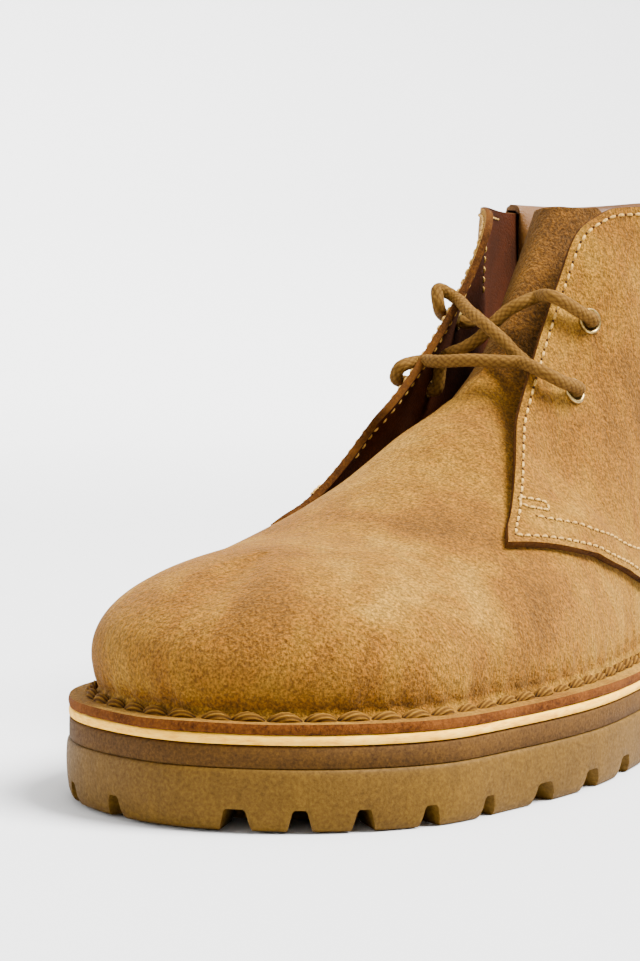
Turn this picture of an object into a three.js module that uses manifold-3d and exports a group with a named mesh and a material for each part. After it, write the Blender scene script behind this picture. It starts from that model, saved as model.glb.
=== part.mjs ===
// A left chukka boot in suede on a lugged rubber sole, in millimetres.
// +X runs to the toe, +Y to the wearer's left, which is the boot's outer side, and +Z up.
// The origin is on the floor under the middle of the sole.
import * as THREE from "three";
import { mergeVertices } from "three/addons/utils/BufferGeometryUtils.js";
import Module from "manifold-3d";

const wasm = await Module();
wasm.setup();

// ---------------------------------------------------------------- driving dimensions
const OUTSOLE = 13.2; // rubber outsole at the ball, lugs included
const MIDSOLE = 4.6; // dark rubber layer
const LEATHER_LAYER = 2.3; // pale leather layer
const LAYER_GAP = 0.3; // between pieces that meet
const LUG = 4.8; // depth of the tread
const TOE_SPRING = { from: 90, to: 156, lift: 0.6 };
const HEEL_RISE = { from: 15, to: -80, lift: 9 }; // the heel seat is higher than the ball
const ARCH = { from: -18, to: -64, lift: 3 }; // the tread is clear of the floor here
const WALL = 2.0; // suede of the upper
const FLANGE = 5; // flat width of the out-turned edge of the upper
const CREASE = 2.2; // radius of the bend above the flange
const INSOLE = 3.0;

// ---------------------------------------------------------------- sections
// A row for each section, from the toe tip to the back of the heel. x, outer and inner place the edge of the
// sole on both sides. topX and topZ place the top of the section: on the ridge at ridgeY, or, where open is
// over 0, on the edge of the throat or collar that far to each side. The side is a Bezier curve: its lower
// handle leans out by bulge and goes up by rise, its upper handle goes out by reach and down by drop.
const COLUMNS = ["x", "outer", "inner", "topX", "topZ", "ridgeY", "open", "bulge", "rise", "reach", "drop"];
const SECTIONS = [
  [156, -4, -4, 111, 56, -5, 0, 9, 19, 23, 0],
  [152, 14, -22, 110, 56.2, -5, 0, 9, 19, 24, 0],
  [142, 31, -38.7, 107, 56.5, -5, 0, 9, 19, 25, 0],
  [125, 44.5, -50.5, 101, 57, -4, 0, 8, 19, 26, 0],
  [99, 50.5, -54.5, 88, 58.5, -3, 0, 6, 20, 26, 0],
  [65, 54, -53.7, 66, 65.8, -2, 0, 4, 23, 24, 0],
  [31, 50.5, -46.5, 48, 75.5, -1, 0, 3, 26, 22, 0],
  [14, 47.5, -42, 38, 81.5, 0, 0, 2, 30, 21, 0],
  [-1, 45, -39, 27, 86, 0.5, 13.5, 1, 34, 9, 4],
  [-21, 42, -36.5, 11, 105, 1, 12.5, 0, 42, 10, 7],
  [-41, 40, -36, -6, 131.5, 3.5, 14, 0, 50, 10, 12],
  [-55, 39.5, -36.5, -22, 134, 2, 23, 0, 44, 4, 30],
  [-81, 39.5, -38, -56, 133, 0, 31, 1, 36, 1, 36],
  [-112, 37.5, -37, -95, 132.5, 0, 27, 4, 34, 0, 36],
  [-136, 26, -26, -113, 134, 0, 14, 6, 34, 0, 36],
  [-147, 0, 0, -119, 135, 0, 0, 7, 34, 0, 36],
].map((row) => Object.fromEntries(row.map((value, k) => [COLUMNS[k], value])));
const LAST = SECTIONS.length - 1;
const FIRST_OPEN = SECTIONS.findIndex((row) => row.open > 0);

const clamp01 = (t) => Math.min(1, Math.max(0, t));
const ease = (t) => clamp01(t) ** 2 * (3 - 2 * clamp01(t));
const vec = (x, y, z) => new THREE.Vector3(x, y, z);

// ---------------------------------------------------------------- the sole's long profile
const shareOf = (x, { from, to }) => (x - from) / (to - from);
const toeLift = (x) => TOE_SPRING.lift * clamp01(shareOf(x, TOE_SPRING)) ** 2;
const heelLift = (x) => HEEL_RISE.lift * ease(shareOf(x, HEEL_RISE));
const archLift = (x) => ARCH.lift * Math.sin(Math.PI * clamp01(shareOf(x, ARCH))) ** 2;

// Lifts a point of the flat sole: the top layers follow the heel, the tread only the toe spring and the arch.
function onLast(x, y, z) {
  const high = clamp01((z - LUG) / (OUTSOLE - LUG));
  return vec(x, y, z + toeLift(x) + high * heelLift(x) + (1 - high) * archLift(x));
}

// ---------------------------------------------------------------- sections between the rows
const chord = (a, b, side) => Math.hypot(b.x - a.x, b[side] - a[side]);
const KNOTS = SECTIONS.slice(1).reduce((knots, row, k) => {
  const before = SECTIONS[k];
  return [...knots, knots[k] + (chord(before, row, "outer") + chord(before, row, "inner")) / 2];
}, [0]);

// Past the toe and the heel the rows run on into the other side, so both ends are round.
function rowAt(k, side) {
  const mirrored = k < 0 || k > LAST;
  const index = k < 0 ? -k : Math.min(k, 2 * LAST - k);
  const row = SECTIONS[index];
  const knot = k < 0 ? -KNOTS[index] : k > LAST ? 2 * KNOTS[LAST] - KNOTS[index] : KNOTS[index];
  const y = (mirrored ? -side : side) > 0 ? row.outer : row.inner;
  return { ...row, y, open: mirrored ? -row.open : row.open, knot };
}

// The section at u, a row's index or a number between two of them, on side 1 (outer) or -1 (inner).
function sectionAt(side, u) {
  if (u < 0) return sectionAt(-side, -u);
  if (u > LAST) return sectionAt(-side, 2 * LAST - u);
  const k = Math.min(Math.floor(u), LAST - 1);
  const t = u - k;
  const [p, q, r, s] = [-1, 0, 1, 2].map((step) => rowAt(k + step, side));
  const span = r.knot - q.knot;
  const slope = (a, b, c, name) => {
    const [back, ahead] = [b.knot - a.knot, c.knot - b.knot];
    return (((b[name] - a[name]) / back) * ahead + ((c[name] - b[name]) / ahead) * back) / (back + ahead);
  };
  const value = (name) =>
    (2 * t ** 3 - 3 * t ** 2 + 1) * q[name] + (t ** 3 - 2 * t ** 2 + t) * span * slope(p, q, r, name) +
    (3 * t ** 2 - 2 * t ** 3) * r[name] + (t ** 3 - t ** 2) * span * slope(q, r, s, name);
  const open = u <= FIRST_OPEN - 1 ? 0 : Math.max(0, value("open"));
  return {
    x: value("x"), y: value("y"), bulge: value("bulge"), rise: value("rise"), reach: value("reach"),
    drop: value("drop"), open, top: vec(value("topX"), value("ridgeY") + side * open, value("topZ")),
  };
}

// The direction out of the sole's edge, level with the floor.
function outward(side, u) {
  const [a, b] = [sectionAt(side, u - 0.01), sectionAt(side, u + 0.01)];
  return vec(b.y - a.y, a.x - b.x, 0).normalize().multiplyScalar(side);
}

// A point of the flat sole, inset from its edge.
function soleEdge(side, u, inset) {
  const { x, y } = sectionAt(side, u);
  const out = outward(side, u);
  return vec(x - out.x * inset, y - out.y * inset, 0);
}

// ---------------------------------------------------------------- the upper's outer face
const LEATHER_TOP = OUTSOLE + MIDSOLE + LEATHER_LAYER + 2 * LAYER_GAP;
const FLANGE_TOP = LEATHER_TOP + LAYER_GAP + WALL;
const ARC_STEPS = 3;

function slopeOfRidge(side, u) {
  const [near, far] = [sectionAt(side, u - 0.05).top, sectionAt(side, u + 0.05).top];
  return (far.z - near.z) / (far.x - near.x);
}
// The points of one section, from the edge of the flange over the crease and up the side. Each of levels is a
// share of the side's curve, from 0 at the crease to 1 at the top.
function sideCurve(side, u) {
  const section = sectionAt(side, u);
  const out = outward(side, u);
  const foot = soleEdge(side, u, FLANGE + CREASE);
  const base = onLast(foot.x, foot.y, FLANGE_TOP + CREASE);
  const ridgeSlope = u < FIRST_OPEN ? slopeOfRidge(side, Math.max(u, 0.1)) * (section.open > 0 ? 0 : 1) : 0;
  const low = base.clone().addScaledVector(out, section.bulge).add(vec(0, 0, section.rise));
  const high = section.top.clone().addScaledVector(out, section.reach);
  high.z += out.x * section.reach * ridgeSlope - section.drop;
  return new THREE.CubicBezierCurve3(base, low, high, section.top);
}
function flangePoint(side, u, inset, height) {
  const { x, y } = soleEdge(side, u, inset);
  return onLast(x, y, FLANGE_TOP + height);
}
function profile(side, u, levels) {
  const crease = Array.from({ length: ARC_STEPS }, (_, k) => {
    const turn = (k / ARC_STEPS) * (Math.PI / 2);
    return flangePoint(side, u, FLANGE + CREASE * Math.sin(turn), CREASE * (1 - Math.cos(turn)));
  });
  const curve = sideCurve(side, u);
  return [flangePoint(side, u, 0, 0), ...crease, ...levels.map((level) => curve.getPoint(level))];
}

// ---------------------------------------------------------------- mesh helpers
function indexed(points, triangles) {
  const geometry = new THREE.BufferGeometry();
  geometry.setAttribute("position", new THREE.Float32BufferAttribute(points.flatMap((p) => p.toArray()), 3));
  geometry.setIndex(triangles.flat());
  return geometry;
}
// Joins rows of points into a grid of triangles. closed joins the last row to the first.
function grid(rows, closed) {
  const width = rows[0].length;
  const triangles = [];
  for (let i = 0; i < rows.length - (closed ? 0 : 1); i++) {
    for (let j = 0; j < width - 1; j++) {
      const [a, b] = [i * width + j, ((i + 1) % rows.length) * width + j];
      triangles.push([a, b, b + 1], [a, b + 1, a + 1]);
    }
  }
  return indexed(rows.flat(), triangles);
}
// Welds equal points and drops the triangles that this folds flat.
function weld(geometry) {
  const welded = mergeVertices(geometry, 1e-3);
  const index = Array.from(welded.index.array);
  const kept = [];
  for (let k = 0; k < index.length; k += 3) {
    const [a, b, c] = index.slice(k, k + 3);
    if (a !== b && b !== c && c !== a) kept.push(a, b, c);
  }
  welded.setIndex(kept);
  return welded;
}
// Gives an open surface a wall on its inner side, and closes its rims.
function thicken(surface, wall) {
  const face = weld(surface);
  face.computeVertexNormals();
  const position = face.getAttribute("position");
  const normal = face.getAttribute("normal");
  const count = position.count;
  const outer = Array.from({ length: count }, (_, k) => new THREE.Vector3().fromBufferAttribute(position, k));
  const inner = outer.map((p, k) =>
    p.clone().addScaledVector(new THREE.Vector3().fromBufferAttribute(normal, k), -wall));
  const index = Array.from(face.index.array);
  const triangles = [];
  const edges = new Map();
  for (let k = 0; k < index.length; k += 3) {
    const [a, b, c] = index.slice(k, k + 3);
    triangles.push([a, b, c], [a + count, c + count, b + count]);
    for (const [from, to] of [[a, b], [b, c], [c, a]]) edges.set(`${from} ${to}`, [from, to]);
  }
  for (const [from, to] of edges.values()) {
    if (!edges.has(`${to} ${from}`)) triangles.push([to, from, from + count], [to, from + count, to + count]);
  }
  return indexed([...outer, ...inner], triangles);
}
// Turns a closed surface's triangles to face out.
function facingOut(geometry) {
  const position = geometry.getAttribute("position");
  const index = Array.from(geometry.index.array);
  const [a, b, c] = [vec(0, 0, 0), vec(0, 0, 0), vec(0, 0, 0)];
  let volume = 0;
  for (let k = 0; k < index.length; k += 3) {
    [a, b, c].forEach((p, n) => p.fromBufferAttribute(position, index[k + n]));
    volume += a.dot(b.cross(c));
  }
  geometry.setIndex(volume < 0 ? index.reverse() : index);
  return geometry;
}
// A closed body through loops of points. Each is shaped like outline, which is flat and says how the ends are
// capped.
function loft(loops, outline) {
  const size = outline.length;
  const end = (loops.length - 1) * size;
  const turns = Math.sign(THREE.ShapeUtils.area(outline));
  const triangles = [];
  for (let i = 0; i < loops.length - 1; i++) {
    for (let j = 0; j < size; j++) {
      const [a, b] = [i * size + j, i * size + ((j + 1) % size)];
      triangles.push([a, b, b + size], [a, b + size, a + size]);
    }
  }
  for (const [a, b, c] of THREE.ShapeUtils.triangulateShape(outline, [])) {
    const same = Math.sign(THREE.ShapeUtils.area([outline[a], outline[b], outline[c]])) === turns;
    const [p, q, r] = same ? [a, b, c] : [c, b, a];
    triangles.push([r, q, p], [p + end, q + end, r + end]);
  }
  return facingOut(indexed(loops.flat(), triangles));
}
const circle = (radius, sides) => Array.from({ length: sides }, (_, k) => {
  const turn = (k / sides) * 2 * Math.PI;
  return new THREE.Vector2(radius * Math.cos(turn), radius * Math.sin(turn));
});
// A round cord through points.
function cord(points, radius, steps) {
  const route = new THREE.CatmullRomCurve3(points);
  const frames = route.computeFrenetFrames(steps, false);
  const outline = circle(radius, 8);
  const loops = route.getSpacedPoints(steps).map((centre, k) => outline.map((p) =>
    centre.clone().addScaledVector(frames.normals[k], p.x).addScaledVector(frames.binormals[k], p.y)));
  return loft(loops, outline);
}

// ---------------------------------------------------------------- solids by boolean
function toSolid(geometry) {
  const welded = weld(geometry);
  return new wasm.Manifold(new wasm.Mesh({
    numProp: 3,
    vertProperties: Float32Array.from(welded.getAttribute("position").array),
    triVerts: Uint32Array.from(welded.index.array),
  }));
}
function fromSolid(solid) {
  const mesh = solid.getMesh();
  const geometry = new THREE.BufferGeometry();
  geometry.setAttribute("position", new THREE.BufferAttribute(Float32Array.from(mesh.vertProperties), 3));
  geometry.setIndex(Array.from(mesh.triVerts));
  return geometry;
}

// ---------------------------------------------------------------- flat layers of the sole
const SOLE_STATIONS = 32;
const stations = (count) => Array.from({ length: count + 1 }, (_, k) => (k / count) * LAST);

// A layer through rings of the sole's outline, each at a height and inset from the edge, bottom to top.
function layer(rings) {
  const us = stations(SOLE_STATIONS);
  const size = 2 * SOLE_STATIONS;
  const loop = [...us.map((u) => [1, u]), ...us.slice(1, -1).reverse().map((u) => [-1, u])];
  const points = rings.flatMap(({ z, inset }) => loop.map(([side, u]) => {
    const p = soleEdge(side, u, inset);
    return onLast(p.x, p.y, z);
  }));
  const triangles = [];
  for (let ring = 0; ring < rings.length - 1; ring++) {
    for (let j = 0; j < size; j++) {
      const [a, b] = [ring * size + j, ring * size + ((j + 1) % size)];
      triangles.push([a, b, b + size], [a, b + size, a + size]);
    }
  }
  const top = (rings.length - 1) * size;
  for (let i = 0; i < SOLE_STATIONS; i++) {
    const [a, b, c, d] = [i, i + 1, size - i - 1, (size - i) % size];
    if (i > 0) triangles.push([a, d, b], [top + a, top + b, top + d]);
    if (i < SOLE_STATIONS - 1) triangles.push([b, d, c], [top + b, top + c, top + d]);
  }
  return facingOut(indexed(points, triangles));
}

// ---------------------------------------------------------------- outsole
const RIM_LUG = 13; // length of a lug at the edge, inwards
const CHANNEL = 4; // groove between the rim lugs and the middle ones
const NOTCH = { bottom: 5.3, top: 3.2 }; // width of the grooves between lugs
const MOUTH = 1.9; // how many times wider a groove is where it leaves a straighter side
const TOE_NOTCH = { u: 0.8, wider: 0.8 };
// x of the grooves where the edge is round, on both sides.
const NOTCHES = { 1: [147.5, 139, 126.5, 109.5], "-1": [152.5, 142.5, 127, 109] };
const NOTCH_PITCH = 21; // of the grooves along the straighter sides
const NOTCH_RUN = { from: 88.5, to: -138 };

// The u where the sole's edge passes x.
function edgeAt(side, x) {
  let [low, high] = [0, LAST];
  while (high - low > 1e-4) {
    const middle = (low + high) / 2;
    if (sectionAt(side, middle).x > x) low = middle;
    else high = middle;
  }
  return low;
}
// A groove's tapered bar from one inset to another, as a cutter. Its mouth is mouth times as wide.
function notch(side, u, from, to, wider, mouth = 1) {
  const out = outward(side, u);
  const along = vec(-out.y, out.x, 0);
  const half = { bottom: NOTCH.bottom / 2 + wider, top: NOTCH.top / 2 + wider };
  const outline = [[-half.bottom, -1], [half.bottom, -1], [half.top, LUG], [-half.top, LUG]];
  const loops = [from, to].map((inset) => outline.map(([shift, z]) => {
    const p = soleEdge(side, u, inset).addScaledVector(along, inset < 0 ? shift * mouth : shift);
    return onLast(p.x, p.y, z);
  }));
  return toSolid(loft(loops, outline.map(([x, y]) => new THREE.Vector2(x, y))));
}
function outsole() {
  let solid = toSolid(layer([
    { z: 0, inset: 1.4 }, { z: 2.2, inset: 0.3 }, { z: LUG, inset: 0 }, { z: 9, inset: -0.2 },
    { z: OUTSOLE - 1.2, inset: 0 }, { z: OUTSOLE, inset: 0.9 },
  ]));
  const channelOuter = toSolid(layer([{ z: -1, inset: RIM_LUG }, { z: LUG, inset: RIM_LUG }]));
  const middle = RIM_LUG + CHANNEL;
  const channelInner = toSolid(layer([{ z: -2, inset: middle }, { z: LUG + 1, inset: middle }]));
  solid = solid.subtract(channelOuter.subtract(channelInner));
  solid = solid.subtract(notch(1, TOE_NOTCH.u, -3, RIM_LUG + 1, TOE_NOTCH.wider));
  for (const side of [1, -1]) {
    for (const x of NOTCHES[side]) solid = solid.subtract(notch(side, edgeAt(side, x), -3, RIM_LUG + 1, 0));
  }
  for (let x = NOTCH_RUN.from; x > NOTCH_RUN.to; x -= NOTCH_PITCH) {
    for (const side of [1, -1]) {
      const u = edgeAt(side, x);
      solid = solid.subtract(notch(side, u, -3, RIM_LUG + 1, 0, MOUTH));
      solid = solid.subtract(notch(side, u, middle - 1, Math.abs(sectionAt(side, u).y) + 1, 0));
    }
  }
  return fromSolid(solid);
}

// ---------------------------------------------------------------- midsole layers and insole
const MIDSOLE_Z = OUTSOLE + LAYER_GAP;
const LEATHER_Z = MIDSOLE_Z + MIDSOLE + LAYER_GAP;
const INSOLE_Z = LEATHER_TOP + LAYER_GAP;

const midsole = () => layer([
  { z: MIDSOLE_Z, inset: 1.3 }, { z: MIDSOLE_Z + 0.6, inset: 0.9 },
  { z: MIDSOLE_Z + MIDSOLE - 0.6, inset: 0.9 }, { z: MIDSOLE_Z + MIDSOLE, inset: 1.3 },
]);
const leatherMidsole = () => layer([
  { z: LEATHER_Z, inset: 1 }, { z: LEATHER_Z + 0.5, inset: 0.6 },
  { z: LEATHER_Z + LEATHER_LAYER, inset: 0.6 },
]);
const INSOLE_INSET = FLANGE + CREASE + WALL + 1;
const insole = () => layer([
  { z: INSOLE_Z, inset: INSOLE_INSET }, { z: INSOLE_Z + INSOLE, inset: INSOLE_INSET + 0.2 },
]);

// ---------------------------------------------------------------- upper
const UPPER_STATIONS = 42;
const LEVELS = [0, 0.07, 0.16, 0.27, 0.39, 0.51, 0.63, 0.75, 0.88, 1];

function upper() {
  const us = stations(UPPER_STATIONS);
  const rows = [
    ...us.map((u) => profile(1, u, LEVELS)),
    ...us.slice(1, -1).reverse().map((u) => profile(-1, u, LEVELS)),
  ];
  return facingOut(thicken(grid(rows, true), WALL));
}

// A point on the upper's outer face, moved out by offset along its normal. Levels past 1 go straight on.
function onUpper(side, u, level, offset) {
  const point = (atU, atLevel) => {
    const curve = sideCurve(side, atU);
    const within = Math.min(1, atLevel);
    const past = (atLevel - within) * curve.getLength();
    return curve.getPoint(within).addScaledVector(curve.getTangent(1), past);
  };
  const step = 0.02;
  const alongSide = point(u + step, level).sub(point(u - step, level));
  const up = point(u, level).sub(point(u, level - step));
  return point(u, level).addScaledVector(alongSide.cross(up).normalize(), side * offset);
}

// ---------------------------------------------------------------- tongue
const TONGUE = {
  thick: 2.2,
  from: 6.3, to: 10.05, steps: 12, // rows of the upper that it spans
  low: 0.66, high: 0.95, levels: 5, // the part of each side that it lies under
  inset: { low: 3.2, top: 6 }, // below the upper's outer face, at its lower end and at its top
  across: 5, // steps across the open throat
  above: 1.1, // how far its end goes on past the last row, in steps
};

function tongue() {
  const rows = Array.from({ length: TONGUE.steps + 1 }, (_, k) => {
    const share = k / TONGUE.steps;
    const u = THREE.MathUtils.lerp(TONGUE.from, TONGUE.to, share);
    const inset = THREE.MathUtils.lerp(TONGUE.inset.low, TONGUE.inset.top, share);
    const flank = (side) => Array.from({ length: TONGUE.levels }, (_, j) =>
      onUpper(side, u, THREE.MathUtils.lerp(TONGUE.low, TONGUE.high, j / (TONGUE.levels - 1)), -inset));
    const [left, right] = [flank(1), flank(-1)];
    const middle = Array.from({ length: TONGUE.across - 1 }, (_, j) =>
      left.at(-1).clone().lerp(right.at(-1), (j + 1) / TONGUE.across));
    return [...left, ...middle, ...right.reverse()];
  });
  const [before, last] = rows.slice(-2);
  rows.push(last.map((p, j) => before[j].clone().lerp(p, 1 + TONGUE.above)));
  return facingOut(thicken(grid(rows, false), TONGUE.thick));
}

// ---------------------------------------------------------------- padded collar
const COLLAR_FROM = 12.1; // the row of the upper where it starts on each side
const COLLAR_SLOT = 0.9; // clear of the upper on each face
// The pad's section: how far below the collar's edge, and how far out of the upper's outer face.
const COLLAR_SECTION = [
  { below: 24, out: COLLAR_SLOT }, { below: 23, out: 1.6 }, { below: 19, out: 3.6 }, { below: 12, out: 4.6 },
  { below: 5, out: 4.2 }, { below: 0, out: 2.8 }, { below: -2.6, out: -1 }, { below: 0, out: -5 },
  { below: 6, out: -6.4 }, { below: 14, out: -6 }, { below: 20, out: -4.4 },
  { below: 22, out: -WALL - COLLAR_SLOT },
  { below: -COLLAR_SLOT, out: -WALL - COLLAR_SLOT }, { below: -COLLAR_SLOT, out: COLLAR_SLOT },
];

function collarPad() {
  const us = stations(UPPER_STATIONS).filter((u) => u > COLLAR_FROM);
  const places = [...us.map((u) => [1, u]), ...us.slice(0, -1).reverse().map((u) => [-1, u])];
  const loops = places.map(([side, u]) => {
    const height = sideCurve(side, u).getLength();
    return COLLAR_SECTION.map(({ below, out }) => onUpper(side, u, 1 - below / height, out));
  });
  return loft(loops, COLLAR_SECTION.map(({ below, out }) => new THREE.Vector2(below, out)));
}

// ---------------------------------------------------------------- eyelets
const EYELET = { radius: 3.35, hole: 1.7, height: 1.0, sides: 14 };
const EYELETS = [
  { side: 1, u: 8.55, level: 0.77 }, { side: 1, u: 9.3, level: 0.79 },
  { side: -1, u: 8.55, level: 0.77 }, { side: -1, u: 9.3, level: 0.79 },
];

function eyelet() {
  const { radius, hole, height, sides } = EYELET;
  const section = [
    [hole, 0], [radius, 0], [radius, height * 0.4], [radius - 0.6, height], [hole + 0.4, height], [hole, 0],
  ];
  const geometry = new THREE.LatheGeometry(section.map(([x, y]) => new THREE.Vector2(x, y)), sides);
  geometry.deleteAttribute("normal");
  geometry.deleteAttribute("uv");
  return facingOut(weld(geometry.rotateX(Math.PI / 2)));
}
function eyeletPlace({ side, u, level }) {
  const centre = onUpper(side, u, level, 0);
  const normal = onUpper(side, u, level, 1).sub(centre);
  return { centre: centre.addScaledVector(normal, 0.45), normal };
}

// ---------------------------------------------------------------- lace
const LACE_RADIUS = 1.8;
const BAR_AT = 8.38; // the row where the bar crosses the throat
const OVER_EYELET = EYELET.height + LACE_RADIUS + 0.4;

// The middle of the throat at u, above the tongue.
function inThroat(u, share, height) {
  const [left, right] = [onUpper(1, u, 0.98, height), onUpper(-1, u, 0.98, height)];
  return left.lerp(right, (1 - share) / 2);
}
function overEyelet(index) {
  const { centre, normal } = eyeletPlace(EYELETS[index]);
  return centre.addScaledVector(normal, OVER_EYELET);
}
function laceBar() {
  const [left, right] = [overEyelet(0), overEyelet(2)];
  const across = [0.9, 0, -0.9].map((share) => inThroat(BAR_AT, share, 4.3));
  return cord([left, ...across, right], LACE_RADIUS, 18);
}
function laceCross() {
  const run = (side) => {
    const end = overEyelet(side > 0 ? 3 : 1);
    const points = [
      inThroat(8.4, 0.7 * side, -1.6), inThroat(8.52, 0.4 * side, -1), inThroat(8.7, 0, 0.8),
      inThroat(8.95, -0.55 * side, 3), inThroat(9.1, -0.95 * side, 4.4), end,
    ];
    return toSolid(cord(points, LACE_RADIUS, 16));
  };
  return fromSolid(run(1).add(run(-1)));
}

// ---------------------------------------------------------------- materials
const material = (name, color, roughness, metalness = 0) =>
  Object.assign(new THREE.MeshStandardMaterial({ color, roughness, metalness }), { name });
const SUEDE = () => material("suede", 0xb5874a, 0.95);
const TAN_RUBBER = () => material("tan rubber", 0xa98d62, 0.8);
const DARK_RUBBER = () => material("dark rubber", 0x33291c, 0.7);
const PALE_LEATHER = () => material("pale leather", 0xd9c7a0, 0.7);
const LINING = () => material("lining leather", 0x9a6a42, 0.7);
const COLLAR_LEATHER = () => material("collar leather", 0x9c5a2a, 0.45);
const BRASS = () => material("antique brass", 0x6f5836, 0.4, 0.9);
const LACE = () => material("lace", 0x8a7950, 0.9);

// ---------------------------------------------------------------- the boot
const MIDDLE = vec(4.5, -1, 0); // of the sole, where the origin goes

function mesh(name, geometry, finish, place = vec(0, 0, 0)) {
  const flat = geometry.toNonIndexed();
  flat.computeVertexNormals();
  const node = new THREE.Mesh(flat, finish);
  node.name = name;
  node.position.copy(place).sub(MIDDLE);
  return node;
}
const boot = new THREE.Group();
boot.name = "chukka_boot";
boot.add(
  mesh("outsole", outsole(), TAN_RUBBER()),
  mesh("midsole", midsole(), DARK_RUBBER()),
  mesh("leather_midsole", leatherMidsole(), PALE_LEATHER()),
  mesh("upper", upper(), SUEDE()),
  mesh("tongue", tongue(), SUEDE()),
  mesh("insole", insole(), LINING()),
  mesh("collar_pad", collarPad(), COLLAR_LEATHER()),
  mesh("lace_bar", laceBar(), LACE()),
  mesh("lace_cross", laceCross(), LACE()),
);
EYELETS.forEach((place, k) => {
  const { centre, normal } = eyeletPlace(place);
  const ring = mesh(`eyelet_${k + 1}`, eyelet(), BRASS(), centre);
  ring.quaternion.setFromUnitVectors(vec(0, 0, 1), normal.clone().normalize());
  boot.add(ring);
});

export default boot;
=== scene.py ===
"""A left chukka boot in suede on a lugged rubber sole, drawn in Blender around its CAD frame."""

import math

import bmesh
import bpy
import numpy as np
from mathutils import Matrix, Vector
from mathutils.bvhtree import BVHTree
from mathutils.kdtree import KDTree


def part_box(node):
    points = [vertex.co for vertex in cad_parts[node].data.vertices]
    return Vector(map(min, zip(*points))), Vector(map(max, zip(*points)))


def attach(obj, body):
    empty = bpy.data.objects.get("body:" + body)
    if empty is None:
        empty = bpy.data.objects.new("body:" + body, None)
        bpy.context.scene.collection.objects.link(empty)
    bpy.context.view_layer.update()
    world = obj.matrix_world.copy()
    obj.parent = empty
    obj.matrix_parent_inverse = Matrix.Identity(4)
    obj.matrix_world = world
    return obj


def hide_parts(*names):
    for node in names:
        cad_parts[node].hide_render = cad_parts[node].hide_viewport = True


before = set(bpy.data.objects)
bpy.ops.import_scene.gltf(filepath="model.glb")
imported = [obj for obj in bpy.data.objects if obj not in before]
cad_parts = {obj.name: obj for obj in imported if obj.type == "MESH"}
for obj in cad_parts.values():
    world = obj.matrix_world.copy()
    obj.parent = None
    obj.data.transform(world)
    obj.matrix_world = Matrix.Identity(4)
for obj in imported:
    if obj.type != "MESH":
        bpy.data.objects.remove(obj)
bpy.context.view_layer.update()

# ---------------------------------------------------------------- the last's sizes, in millimetres
# The upper's surface is worked out in millimetres on the last, and to_scene() takes it to the frame.
MIDDLE = np.array([4.5, -1.0, 0.0])  # of the sole, where the frame has its origin
OUTSOLE, MIDSOLE, LEATHER, LAYER_GAP = 13.2, 4.6, 2.3, 0.3
LUG = 4.8
TOE_SPRING = (90.0, 156.0, 0.6)  # from x, to x, lift
HEEL_RISE = (15.0, -80.0, 9.0)
ARCH = (-18.0, -64.0, 3.0)
WALL = 2.0
FLANGE, CREASE = 5.0, 2.2
TRIM = 0.6  # the flange is cut flush with the layers under it
LEATHER_TOP = OUTSOLE + MIDSOLE + LEATHER + 2 * LAYER_GAP
FLANGE_TOP = LEATHER_TOP + LAYER_GAP + WALL

COLUMNS = ("x", "outer", "inner", "top_x", "top_z", "ridge_y", "open", "bulge", "rise", "reach", "drop")
SECTIONS = [
    (156, -4, -4, 111, 56, -5, 0, 9, 19, 23, 0),
    (152, 14, -22, 110, 56.2, -5, 0, 9, 19, 24, 0),
    (142, 31, -38.7, 107, 56.5, -5, 0, 9, 19, 25, 0),
    (125, 44.5, -50.5, 101, 57, -4, 0, 8, 19, 26, 0),
    (99, 50.5, -54.5, 88, 58.5, -3, 0, 6, 20, 26, 0),
    (65, 54, -53.7, 66, 65.8, -2, 0, 4, 23, 24, 0),
    (31, 50.5, -46.5, 48, 75.5, -1, 0, 3, 26, 22, 0),
    (14, 47.5, -42, 38, 81.5, 0, 0, 2, 30, 21, 0),
    (-1, 45, -39, 27, 86, 0.5, 13.5, 1, 34, 9, 4),
    (-21, 42, -36.5, 11, 105, 1, 12.5, 0, 42, 10, 7),
    (-41, 40, -36, -6, 131.5, 3.5, 14, 0, 50, 10, 12),
    (-55, 39.5, -36.5, -22, 134, 2, 23, 0, 44, 4, 30),
    (-81, 39.5, -38, -56, 133, 0, 31, 1, 36, 1, 36),
    (-112, 37.5, -37, -95, 132.5, 0, 27, 4, 34, 0, 36),
    (-136, 26, -26, -113, 134, 0, 14, 6, 34, 0, 36),
    (-147, 0, 0, -119, 135, 0, 0, 7, 34, 0, 36),
]
LAST = len(SECTIONS) - 1
LOOP = 2 * LAST  # rows in the closed loop: toe, outer side, heel, inner side
# The vamp runs on under the quarters as the tongue, so its rows from the throat on have a ridge of their own.
TONGUE_ROWS = {
    8: {"top_x": 28.5, "top_z": 87.2, "ridge_y": 0.8, "open": 0, "reach": 18, "drop": 0},
    9: {"top_x": 11.5, "top_z": 103.5, "ridge_y": 2.5, "open": 0, "reach": 14, "drop": 0},
    10: {"top_x": -7.5, "top_z": 130, "ridge_y": 3.5, "open": 0, "reach": 15, "drop": 0},
    11: {"top_x": -14, "top_z": 142, "ridge_y": 3.5, "open": 0, "reach": 15, "drop": 0},
    12: {"top_x": -26, "top_z": 156, "ridge_y": 3.5, "open": 0, "reach": 15, "drop": 0},
}


def smooth(t):
    t = np.clip(t, 0, 1)
    return t * t * (3 - 2 * t)


def mix(a, b, t):
    return a + (b - a) * t


def to_scene(points):
    return (np.asarray(points, float) - MIDDLE) / 1000


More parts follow.
